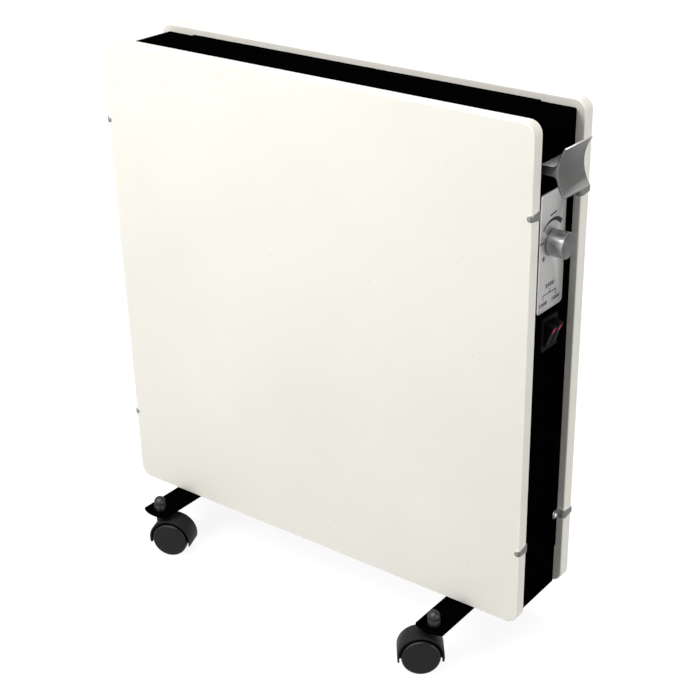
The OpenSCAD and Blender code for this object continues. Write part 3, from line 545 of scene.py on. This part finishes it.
# %% [markdown]
# ## Softened CAD parts
#
# A CAD solid has knife-sharp edges, and real sheet metal and mouldings never do. The parts could be built
# again here, but their shapes are right already. So a copy of the CAD mesh is merged, its flat faces are
# joined again, and a narrow bevel breaks every sharp edge, so that edges catch a line of light. The copy
# takes the CAD part's place and moves with the same body.

# %% Taking a CAD part's place
def body_of_node(node):
    """The body that a CAD node moves with."""
    return frame["nodes"][node]["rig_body"]


def take_place(piece, material, node):
    """Gives a finished piece its material, and lets it stand for a CAD node."""
    piece.data.materials.clear()
    piece.data.materials.append(material)
    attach(piece, body_of_node(node))
    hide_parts(node)


print("CAD nodes to finish:", len(frame["nodes"]))

# %% Softening
MERGE_MM = 0.002
FLAT_WITHIN_DEG = 0.5


def bake(piece):
    """Turns a piece with live modifiers into a plain mesh."""
    graph = bpy.context.evaluated_depsgraph_get()
    mesh = bpy.data.meshes.new_from_object(piece.evaluated_get(graph))
    piece.modifiers.clear()
    piece.data = mesh


def bevel(piece, width_mm, segments=2, above_deg=35):
    """Breaks the sharp edges of a piece."""
    modifier = piece.modifiers.new("edges", "BEVEL")
    modifier.width = width_mm * MM
    modifier.segments = segments
    modifier.limit_method = "ANGLE"
    modifier.angle_limit = math.radians(above_deg)
    modifier.harden_normals = True
    modifier.use_clamp_overlap = True
    bake(piece)


def soften(node, material, width_mm):
    """A merged copy of a CAD part with broken edges, in its place."""
    mesh = frame["nodes"][node].data.copy()
    shape = bmesh.new()
    shape.from_mesh(mesh)
    bmesh.ops.remove_doubles(shape, verts=shape.verts, dist=MERGE_MM * MM)
    flat = math.radians(FLAT_WITHIN_DEG)
    bmesh.ops.dissolve_limit(shape, angle_limit=flat, verts=shape.verts, edges=shape.edges)
    shape.to_mesh(mesh)
    shape.free()
    mesh.polygons.foreach_set("use_smooth", [True] * len(mesh.polygons))
    piece = bpy.data.objects.new(node + "_finished", mesh)
    bpy.context.scene.collection.objects.link(piece)
    bevel(piece, width_mm)
    take_place(piece, material, node)


print("Points merged within mm:", MERGE_MM)

# %% The softened parts
# How wide the edges are broken on the hoods and wheels, and on each other part, beside its finish
HOOD_EDGE_MM = 0.35
WHEEL_EDGE_MM = 0.2
SOFTENED = [
    ("chassis", powder_coat, 0.3),
    ("front_cover", powder_coat, 0.3),
    ("rear_cover", powder_coat, 0.3),
    ("left_foot", powder_coat, 0.4),
    ("right_foot", powder_coat, 0.4),
    ("handle", handle_metal, 0.35),
    ("control_plate", plate_metal, 0.6),
    ("knob", knob_metal, 0.25),
    ("switch_housing", switch_abs, 0.3),
    ("front_rocker", switch_abs, 0.4),
    ("rear_rocker", switch_abs, 0.4),
    ("front_lens", lens_plastic, 0.2),
    ("rear_lens", lens_plastic, 0.2),
    ("front_clips", clip_steel, 0.3),
    ("rear_clips", clip_steel, 0.3),
]
for node, material, width_mm in SOFTENED:
    soften(node, material, width_mm)
for node in frame["nodes"]:
    if node.startswith("housing"):
        soften(node, hood_nylon, HOOD_EDGE_MM)
    if node.startswith("wheel"):
        soften(node, wheel_nylon, WHEEL_EDGE_MM)

# %% [markdown]
# ## Stone slabs
#
# Each slab is sawn, its corners are cut round and its edges are rounded over with a hand tool. A box with
# a bevel would round corners and edges alike. Here the outline is drawn with true arcs, extruded to the
# slab's thickness, and only then are its edges rounded, so that each has its own radius.

# %% Outlines and prisms
ARC_STEPS = 16
SMOOTH_BELOW_DEG = 40


def as_piece(name, shape):
    """Links a bmesh as an object at the origin; flat faces stay crisp beside smooth ones."""
    mesh = bpy.data.meshes.new(name)
    shape.to_mesh(mesh)
    shape.free()
    mesh.polygons.foreach_set("use_smooth", [True] * len(mesh.polygons))
    mesh.set_sharp_from_angle(angle=math.radians(SMOOTH_BELOW_DEG))
    piece = bpy.data.objects.new(name, mesh)
    bpy.context.scene.collection.objects.link(piece)
    return piece


def rounded_outline(low, high, corner):
    """Points of a rectangle with round corners, anticlockwise."""
    points = []
    corners = [high, (low[0], high[1]), low, (high[0], low[1])]
    for turn, (x, z) in enumerate(corners):
        centre_x = x - corner if x == high[0] else x + corner
        centre_z = z - corner if z == high[1] else z + corner
        for step in range(ARC_STEPS + 1):
            angle = math.radians(90 * (turn + step / ARC_STEPS))
            points.append((centre_x + corner * math.cos(angle), centre_z + corner * math.sin(angle)))
    return points


def add_prism(shape, points, near, far, place_point):
    """Adds a closed solid between two copies of an outline; place_point puts (u, v, depth) in space."""
    rings = [[shape.verts.new(place_point(u, v, depth)) for u, v in points] for depth in (near, far)]
    shape.faces.new(rings[0])
    shape.faces.new(list(reversed(rings[1])))
    count = len(points)
    for i in range(count):
        j = (i + 1) % count
        shape.faces.new([rings[0][j], rings[0][i], rings[1][i], rings[1][j]])
    bmesh.ops.recalc_face_normals(shape, faces=shape.faces)


print("Points of a slab's outline:", len(rounded_outline((0, 0), (9, 9), 1)))

# %% Slabs
SLAB_CORNER_MM = 12
SLAB_ROUND_MM = 1.5
for node, name in (("front_panel", "front_slab"), ("rear_panel", "rear_slab")):
    low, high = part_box(node)
    outline = rounded_outline((low.x, low.z), (high.x, high.z), SLAB_CORNER_MM * MM)
    shape = bmesh.new()
    add_prism(shape, outline, low.y, high.y, lambda u, v, depth: (u, depth, v))
    slab = as_piece(name, shape)
    bevel(slab, SLAB_ROUND_MM, segments=6, above_deg=60)
    take_place(slab, honed_stone, node)
    print(name, "faces:", len(slab.data.polygons))

# %% [markdown]
# ## Shapes that are turned or six-sided
#
# Nuts, screw heads and the cord gland are all stacks of rings round one axis, where some rings are
# circles and some are hexagons. They could be cut from one another with booleans, which leave long thin
# faces. One function lofts such a stack instead, so a hexagon that runs into a circle gets a clean
# shoulder, and a recess is only a few more rings that go down again.

# %% Rings
def circle(radius):
    """Radius of a circle in every direction."""
    return lambda angle: radius


def hexagon(across_flats):
    """Radius of a hexagon in every direction, from its size across flats."""
    return lambda angle: across_flats / 2 / math.cos((angle + math.pi / 6) % (math.pi / 3) - math.pi / 6)


def within(ring, radius):
    """A ring cut down to a circle."""
    return lambda angle: min(ring(angle), radius)


print("Corner radius of a hexagon 10 across its flats:", round(hexagon(10)(math.pi / 6), 2))

# %% Lofts
LOFT_STEPS = 48


def lofted(rings, steps=LOFT_STEPS, tube=False):
    """A closed bmesh through (ring, height) pairs in mm round Z; a tube's last ring joins its first."""
    shape = bmesh.new()
    angles = [2 * math.pi * i / steps for i in range(steps)]
    loops = []
    for ring, height in rings:
        points = [Vector((ring(a) * math.cos(a), ring(a) * math.sin(a), height)) * MM for a in angles]
        loops.append([shape.verts.new(point) for point in points])
    for lower, upper in zip(loops, loops[1:] + (loops[:1] if tube else [])):
        for i in range(steps):
            j = (i + 1) % steps
            shape.faces.new([lower[i], lower[j], upper[j], upper[i]])
    for loop, height in [] if tube else [(loops[0], rings[0][1]), (loops[-1], rings[-1][1])]:
        pole = shape.verts.new((0, 0, height * MM))
        for i in range(steps):
            shape.faces.new([loop[i], loop[(i + 1) % steps], pole])
    bmesh.ops.recalc_face_normals(shape, faces=shape.faces)
    return shape


print("Steps round a ring:", LOFT_STEPS)

# %% [markdown]
# ## Nuts and screws set by Geometry Nodes
#
# The heater has four cap nuts, eight clip screws and four foot screws. Copies could be placed one by one,
# but then a change means as many edits. Here each kind is one modelled part that Geometry Nodes sets on
# a cloud of points. Every point carries the direction in which its part faces, and a seeded random turn
# leaves no two heads at the same angle, as on a bench-built product.

# %% Node trees with named inputs
def new_node_tree(name, inputs):
    """An empty Geometry Nodes tree with named inputs and one mesh output."""
    tree = bpy.data.node_groups.new(name, "GeometryNodeTree")
    for label, kind in inputs.items():
        tree.interface.new_socket(label, in_out="INPUT", socket_type="NodeSocket" + kind)
    tree.interface.new_socket("Mesh", in_out="OUTPUT", socket_type="NodeSocketGeometry")
    return tree


def run_tree(piece, tree, given):
    """Runs a tree on a piece with its named inputs filled, and keeps the result as a plain mesh."""
    modifier = piece.modifiers.new("tree", "NODES")
    modifier.node_group = tree
    for socket in tree.interface.items_tree:
        if socket.name in given:
            modifier[socket.identifier] = given[socket.name]
    bake(piece)


def end_tree(tree, geometry, finish):
    """Ends a tree: instances become real, take their material and go to the output."""
    real = add(tree, "GeometryNodeRealizeInstances", {"Geometry": geometry})
    finished = add(tree, "GeometryNodeSetMaterial", {"Geometry": real.outputs[0], "Material": finish})
    add(tree, "NodeGroupOutput", {"Mesh": finished.outputs[0]})


print("Node trees at the start:", len(bpy.data.node_groups))

# %% The setting tree
# The random value's number sockets share their names with its other kinds
RANDOM_MOST, RANDOM_RESULT = 3, 1
SETTING_INPUTS = {
    "Points": "Geometry",
    "Part": "Object",
    "Width Scale": "Float",
    "Height Scale": "Float",
    "Seed": "Int",
    "Finish": "Material",
}


def setting_tree():
    """Node tree that sets a part on each point, facing the point's own direction."""
    tree = new_node_tree("set_parts", SETTING_INPUTS)
    given = add(tree, "NodeGroupInput").outputs
    part = add(tree, "GeometryNodeObjectInfo", {"Object": given["Part"]}).outputs["Geometry"]
    aim = add(tree, "GeometryNodeInputNamedAttribute", {"Name": "facing"}, data_type="FLOAT_VECTOR")
    aimed = add(tree, "FunctionNodeAlignRotationToVector", {"Vector": aim.outputs["Attribute"]}, axis="Z")
    chance = {"Seed": given["Seed"], RANDOM_MOST: 2 * math.pi}
    turn = add(tree, "FunctionNodeRandomValue", chance, data_type="FLOAT").outputs[RANDOM_RESULT]
    spin = add(tree, "FunctionNodeAxisAngleToRotation", {"Axis": (0, 0, 1), "Angle": turn})
    turned = add(
        tree,
        "FunctionNodeRotateRotation",
        {"Rotation": aimed.outputs[0], "Rotate By": spin.outputs[0]},
        rotation_space="LOCAL",
    )
    size = add(
        tree,
        "ShaderNodeCombineXYZ",
        {"X": given["Width Scale"], "Y": given["Width Scale"], "Z": given["Height Scale"]},
    )
    placed = add(
        tree,
        "GeometryNodeInstanceOnPoints",
        {
            "Points": given["Points"],
            "Instance": part,
            "Rotation": turned.outputs[0],
            "Scale": size.outputs[0],
        },
    )
    end_tree(tree, placed.outputs[0], given["Finish"])
    return tree


SET_PARTS = setting_tree()
print("Setting tree nodes:", len(SET_PARTS.nodes))

# %% Setting a kind of part
def set_parts(name, node, part, places, finish, width=1.0, height=1.0, seed=0):
    """Sets a part at (place, direction) pairs in metres, in the place of a CAD node."""
    mesh = bpy.data.meshes.new(name)
    mesh.from_pydata([place for place, _ in places], [], [])
    aims = mesh.attributes.new("facing", "FLOAT_VECTOR", "POINT")
    aims.data.foreach_set("vector", [value for _, direction in places for value in direction])
    piece = bpy.data.objects.new(name, mesh)
    bpy.context.scene.collection.objects.link(piece)
    sizes = {"Width Scale": width, "Height Scale": height}
    run_tree(piece, SET_PARTS, {"Part": part, "Seed": seed, "Finish": finish, **sizes})
    bpy.data.objects.remove(part)
    take_place(piece, finish, node)
    print(name, "parts:", len(places), "faces:", len(piece.data.polygons))


# %% [markdown]
# ### Cap nuts
#
# A cap nut locks each castor's stem above the foot and covers its thread. It is turned and milled from
# one bar: a hexagon with its corners turned down, a narrow groove and a dome of nearly the same width.
# The CAD nut has no groove, so the whole nut is lofted anew. The nuts stand where the castors swivel, so
# their places come from those joints.

# %% Rings of a cap nut
NUT_FLATS_MM = 12.4
NUT_HEX_MM = 6.4
NUT_CORNER_MM = 6.45
DOME_RADIUS_MM = 6.25
DOME_STEPS = 10
nuts_low, nuts_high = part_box("cap_nuts")
nut_height = (nuts_high.z - nuts_low.z) / MM
flats = hexagon(NUT_FLATS_MM)
nut_rings = [
    (within(flats, NUT_CORNER_MM), 0.0),
    (within(flats, NUT_CORNER_MM), NUT_HEX_MM - 0.5),
    (within(flats, NUT_CORNER_MM - 0.4), NUT_HEX_MM),
    (circle(DOME_RADIUS_MM - 0.5), NUT_HEX_MM + 0.1),
    (circle(DOME_RADIUS_MM - 0.5), NUT_HEX_MM + 0.6),
    (circle(DOME_RADIUS_MM - 0.1), NUT_HEX_MM + 0.75),
    (circle(DOME_RADIUS_MM), NUT_HEX_MM + 1.1),
]
dome_start = nut_height - DOME_RADIUS_MM
for step in range(DOME_STEPS):
    angle = math.radians(90 / DOME_STEPS * step)
    height = dome_start + DOME_RADIUS_MM * math.sin(angle)
    nut_rings.append((circle(DOME_RADIUS_MM * math.cos(angle)), height))
nut_rings.append((circle(0.2), nut_height))
print("Cap nut's height in mm:", round(nut_height, 2))

# %% Cap nuts
nut_places = [
    (Vector((*joint["pos_m"][:2], nuts_low.z)), (0, 0, 1))
    for joint in frame["joints"]
    if joint["name"].startswith("swivel")
]
set_parts("domed_nuts", "cap_nuts", as_piece("nut", lofted(nut_rings)), nut_places, nut_steel, seed=4)

# %% [markdown]
# ### Screws
#
# One small button screw holds each clip and two larger ones hold each foot. The CAD heads have no socket,
# and both kinds are the same pattern, a low dome with a hexagon socket. So one head of radius 1 and
# height 1 is drawn, with a stub of its shank, and each use scales it to its own size in millimetres.

# %% A button screw
SCREW_STEPS = 36
HEAD_STEPS = 5
HEAD_STEP_DEG = 13
RIM = 0.08
DOME = 0.98
SOCKET_FLATS = 0.9
SOCKET_MOUTH = 0.5


def button_screw():
    """A dome-headed screw of radius 1 and height 1 with a hexagon socket."""
    socket = within(hexagon(SOCKET_FLATS), SOCKET_MOUTH)
    rings = [(circle(0.6), -4.0), (circle(0.6), 0.0), (circle(0.96), 0.0), (circle(1.0), RIM)]
    for step in range(1, HEAD_STEPS + 1):
        angle = math.radians(HEAD_STEP_DEG * step)
        rings.append((circle(math.cos(angle)), RIM + DOME * math.sin(angle)))
    rings += [(circle(SOCKET_MOUTH), 0.985), (socket, 0.96), (socket, 0.45), (circle(0.05), 0.42)]
    return as_piece("screw", lofted(rings, steps=SCREW_STEPS))


print("The dome of a screw's head runs up through degrees:", HEAD_STEPS * HEAD_STEP_DEG)

# %% Places of the screws
def inset_corners(node, inset_mm):
    """The corners of a CAD node's box, moved inwards along X, Y and Z."""
    low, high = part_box(node)
    corners = []
    for x in (low.x, high.x):
        for y in (low.y, high.y):
            for z in (low.z, high.z):
                corner = Vector((x, y, z))
                for axis in range(3):
                    sign = 1 if corner[axis] == low[axis] else -1
                    corner[axis] += sign * inset_mm[axis] * MM
                corners.append(corner)
    return corners


# Radius and height of the two heads
CLIP_HEAD_MM = (2.8, 1.9)
FOOT_HEAD_MM = (4.25, 2.2)
clip_screw_places = [
    (place, (math.copysign(1, place.x - slabs_foot.x), 0, 0))
    for place in inset_corners("clip_screws", (CLIP_HEAD_MM[1], CLIP_HEAD_MM[0], CLIP_HEAD_MM[0]))
]
foot_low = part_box("foot_screws")[0]
foot_screw_places = [
    (Vector((place.x, place.y, foot_low.z + FOOT_HEAD_MM[1] * MM)), (0, 0, -1))
    for place in inset_corners("foot_screws", (FOOT_HEAD_MM[0], FOOT_HEAD_MM[0], 0))
    if place.z == foot_low.z
]
print("Screws:", len(clip_screw_places), "on the clips and", len(foot_screw_places), "on the feet")

# %% Setting the screws
set_parts(
    "button_screws", "clip_screws", button_screw(), clip_screw_places, screw_zinc, *CLIP_HEAD_MM, seed=2
)
set_parts(
    "foot_button_screws", "foot_screws", button_screw(), foot_screw_places, nut_steel, *FOOT_HEAD_MM, seed=6
)

# %% [markdown]
# ## Cord gland
#
# The left side has the nylon gland of a mains lead: a hexagon for the spanner against the chassis, then a
# cap whose ribs give the fingers a grip. The CAD gland is a plain turned shape. Here its rings are lofted
# as a tube with the bore inside, and the ribs repeat round the cap, so a second tree sets them.

# %% Gland body
gland_low, gland_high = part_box("cord_gland")
gland_middle = Vector((gland_low.x, (gland_low.y + gland_high.y) / 2, (gland_low.z + gland_high.z) / 2))
gland_length = (gland_high.x - gland_low.x) / MM
chassis_side = (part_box("chassis")[0].x - gland_low.x) / MM
BORE_MM = 4.0
THREAD_MM = 7.9
CAP_MM = 9.3
COLLAR_FLATS_MM = 21.0
COLLAR_CORNER_MM = 11.0
CAP_END_MM = chassis_side - 3.4
collar = hexagon(COLLAR_FLATS_MM)
gland_rings = [
    (circle(BORE_MM), 2.0),
    (circle(BORE_MM), 0.6),
    (circle(BORE_MM + 0.6), 0.0),
    (circle(THREAD_MM - 1.4), 0.0),
    (circle(THREAD_MM - 0.2), 0.5),
    (circle(CAP_MM - 0.9), 1.9),
    (circle(CAP_MM - 0.2), 2.6),
    (circle(CAP_MM), CAP_END_MM - 0.3),
    (circle(CAP_MM - 0.5), CAP_END_MM),
    (circle(CAP_MM - 0.5), CAP_END_MM + 0.4),
    (within(collar, COLLAR_CORNER_MM - 0.6), CAP_END_MM + 0.4),
    (within(collar, COLLAR_CORNER_MM), CAP_END_MM + 0.9),
    (within(collar, COLLAR_CORNER_MM), chassis_side),
    (circle(THREAD_MM), chassis_side),
    (circle(THREAD_MM), gland_length),
    (circle(BORE_MM), gland_length),
]
print("Gland length in mm:", round(gland_length, 2))

# %% The rib tree
RIB_SIDES = 10
RIB_INPUTS = {
    "Body": "Geometry",
    "Count": "Int",
    "Cap Radius": "Float",
    "Rib Radius": "Float",
    "Rib Length": "Float",
    "Middle": "Float",
    "Finish": "Material",
}


def rib_tree():
    """Node tree that adds round ribs to a turned cap."""
    tree = new_node_tree("add_ribs", RIB_INPUTS)
    given = add(tree, "NodeGroupInput").outputs
    ring = add(tree, "GeometryNodeMeshCircle", {"Vertices": given["Count"], "Radius": given["Cap Radius"]})
    bar = {"Vertices": RIB_SIDES, "Radius": given["Rib Radius"], "Depth": given["Rib Length"]}
    rib = add(tree, "GeometryNodeMeshCylinder", bar).outputs["Mesh"]
    lifted = add(tree, "ShaderNodeCombineXYZ", {"Z": given["Middle"]}).outputs[0]
    raised = add(tree, "GeometryNodeSetPosition", {"Geometry": ring.outputs[0], "Offset": lifted}).outputs[0]
    ribs = add(tree, "GeometryNodeInstanceOnPoints", {"Points": raised, "Instance": rib}).outputs[0]
    joined = add(tree, "GeometryNodeJoinGeometry")
    for part in (ribs, given["Body"]):
        tree.links.new(part, joined.inputs[0])
    end_tree(tree, joined.outputs[0], given["Finish"])
    return tree


ADD_RIBS = rib_tree()
print("Rib tree nodes:", len(ADD_RIBS.nodes))

# %% Gland ribs
RIB_COUNT = 24
RIB_MM = 0.5
gland = as_piece("gland", lofted(gland_rings, tube=True))

# The ribs stop just short of the cap's two ends
rib_low_mm, rib_high_mm = 2.8, CAP_END_MM - 0.6
run_tree(
    gland,
    ADD_RIBS,
    {
        "Count": RIB_COUNT,
        "Cap Radius": (CAP_MM - 0.1) * MM,
        "Rib Radius": RIB_MM * MM,
        "Rib Length": (rib_high_mm - rib_low_mm) * MM,
        "Middle": (rib_high_mm + rib_low_mm) / 2 * MM,
        "Finish": gland_nylon,
    },
)
inward = Vector((1, 0, 0)).to_track_quat("Z", "Y").to_matrix().to_4x4()
gland.data.transform(Matrix.Translation(gland_middle) @ inward)
take_place(gland, gland_nylon, "cord_gland")
print("Gland faces:", len(gland.data.polygons))

# %% [markdown]
# ## Print on the control plate
#
# The dial has a crescent that swells towards the warm side, and a small tree of lines shows which rocker
# switches what. It is screen printed, a film of ink a few hundredths of a millimetre thick. It could be a
# mask in the plate's material, but a film has crisp edges at any distance, so it is cut from flat
# outlines that are extruded just proud of the plate.

# %% Ink
INK_MM = 0.06
knob_centre = Vector(next(joint["pos_m"] for joint in frame["joints"] if joint["name"] == "knob_turn"))
plate_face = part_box("control_plate")[1].x
print_shape = bmesh.new()


def on_plate(u, v, depth):
    """A point of the plate's face: u towards the rear and v up, in mm from the knob's axis."""
    return (plate_face + depth * MM, knob_centre.y + u * MM, knob_centre.z + v * MM)


def ink(points):
    """Adds an inked area from its outline."""
    add_prism(print_shape, points, -INK_MM, INK_MM, on_plate)


def ink_line(start, end, width):
    """Adds a straight line with square ends."""
    along = (Vector(end) - Vector(start)).normalized() * width / 2
    across = Vector((-along.y, along.x))
    first, last = Vector(start) - along, Vector(end) + along
    ink([first - across, last - across, last + across, first + across])


print("Plate's face in mm:", round(plate_face / MM, 2))

# %% Figures
# The font's size for a figure of height 1, and how much wider, bolder and further apart the figures are
SIZE_OF_FIGURE = 1.38
WIDENED = 1.2
BOLDER = 0.05
SPACED = 1.25


def ink_number(figures, middle, height):
    """Adds a line of bold, widely set figures."""
    curve = bpy.data.curves.new("number", "FONT")
    curve.body = figures
    curve.size = height * SIZE_OF_FIGURE
    curve.offset = height * BOLDER
    curve.space_character = SPACED
    curve.extrude = INK_MM
    curve.align_x = "CENTER"
    curve.align_y = "CENTER"
    holder = bpy.data.objects.new("number", curve)
    bpy.context.scene.collection.objects.link(holder)
    mesh = bpy.data.meshes.new_from_object(holder.evaluated_get(bpy.context.evaluated_depsgraph_get()))
    bpy.data.objects.remove(holder)
    towards = Matrix(((0, 0, MM), (WIDENED * MM, 0, 0), (0, MM, 0))).to_4x4()
    mesh.transform(Matrix.Translation(on_plate(*middle, 0)) @ towards)
    print_shape.from_mesh(mesh)


print("Font size for figures of 1 mm:", SIZE_OF_FIGURE)

# %% Dial
# The crescent's outer radius, its ends in degrees and how thick it is at each
CRESCENT_MM = 23.2
CRESCENT_START, CRESCENT_END = 140, 47
CRESCENT_THIN_MM, CRESCENT_THICK_MM = 0.8, 4.8
CRESCENT_STEPS = 24
outer, inner = [], []
for step in range(CRESCENT_STEPS + 1):
    share = step / CRESCENT_STEPS
    angle = math.radians(CRESCENT_START + (CRESCENT_END - CRESCENT_START) * share)
    reach = CRESCENT_MM - CRESCENT_THIN_MM - (CRESCENT_THICK_MM - CRESCENT_THIN_MM) * share
    outer.append((CRESCENT_MM * math.cos(angle), CRESCENT_MM * math.sin(angle)))
    inner.append((reach * math.cos(angle), reach * math.sin(angle)))
ink(outer + inner[::-1])
print("Crescent's points:", len(outer + inner))

# %% Strokes by the dial
# A dash over the crescent, a dash where the knob is off, and a frost star
FINE_MM = 0.8
STAR_MIDDLE = Vector((-14.6, -11.5))
STAR_ARM_MM = 2.6
ink_line((-5.2, 26.4), (4.6, 27.6), 1.5)
ink_line((-21.5, 3.9), (-16.0, 3.9), 1.2)
for turn in (90, 150, 210):
    angle = math.radians(turn)
    arm = Vector((math.cos(angle), math.sin(angle))) * STAR_ARM_MM
    ink_line(STAR_MIDDLE - arm, STAR_MIDDLE + arm, FINE_MM)
print("Faces of ink so far:", len(print_shape.faces))

# %% Tree of lines
TREE_LEFT, TREE_STEM, TREE_RIGHT = -12.7, -2.0, 9.3
TREE_TOP_MM = -47.5
ink_line((TREE_LEFT, TREE_TOP_MM), (TREE_RIGHT, TREE_TOP_MM), FINE_MM)
ink_line((TREE_LEFT, TREE_TOP_MM), (TREE_LEFT, -51.4), FINE_MM)
ink_line((TREE_RIGHT, TREE_TOP_MM), (TREE_RIGHT, -52.0), FINE_MM)
ink_line((TREE_STEM, TREE_TOP_MM), (TREE_STEM, -43.6), FINE_MM)
ink_number("2000", (-1.8, -39.6), 3.8)
ink_number("1000", (TREE_LEFT, -56.0), 3.6)
ink_number("1000", (9.4, -56.0), 3.6)
dial_print = as_piece("dial_print", print_shape)
dial_print.data.materials.append(print_ink)
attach(dial_print, body_of_node("control_plate"))
print("Print faces:", len(dial_print.data.polygons))

# %% [markdown]
# ## Hidden parts
#
# The closed chassis hides the heating sheets, the insulation, the thermostat and the wires. Nobody sees
# them unless the heater is taken apart, so they keep their CAD shape, and only their finish is set.

# %% Hidden parts
HIDDEN = {
    "front_heating_sheet": mica_board,
    "rear_heating_sheet": mica_board,
    "front_insulation": mineral_wool,
    "rear_insulation": mineral_wool,
    "thermal_cutouts": inner_steel,
    "thermostat": switch_abs,
    "terminal_block": ceramic_block,
    "wiring": wire_sleeve,
    "gland_nut": gland_nylon,
    "knob_shaft": inner_steel,
    "handle_screws": inner_steel,
    "foot_nuts": nut_steel,
    "castor_stems": inner_steel,
}
for node in frame["nodes"]:
    if node.startswith("axle"):
        HIDDEN[node] = inner_steel
for node, material in HIDDEN.items():
    mesh = frame["nodes"][node].data
    mesh.materials.clear()
    mesh.materials.append(material)
print("Hidden parts:", len(HIDDEN))
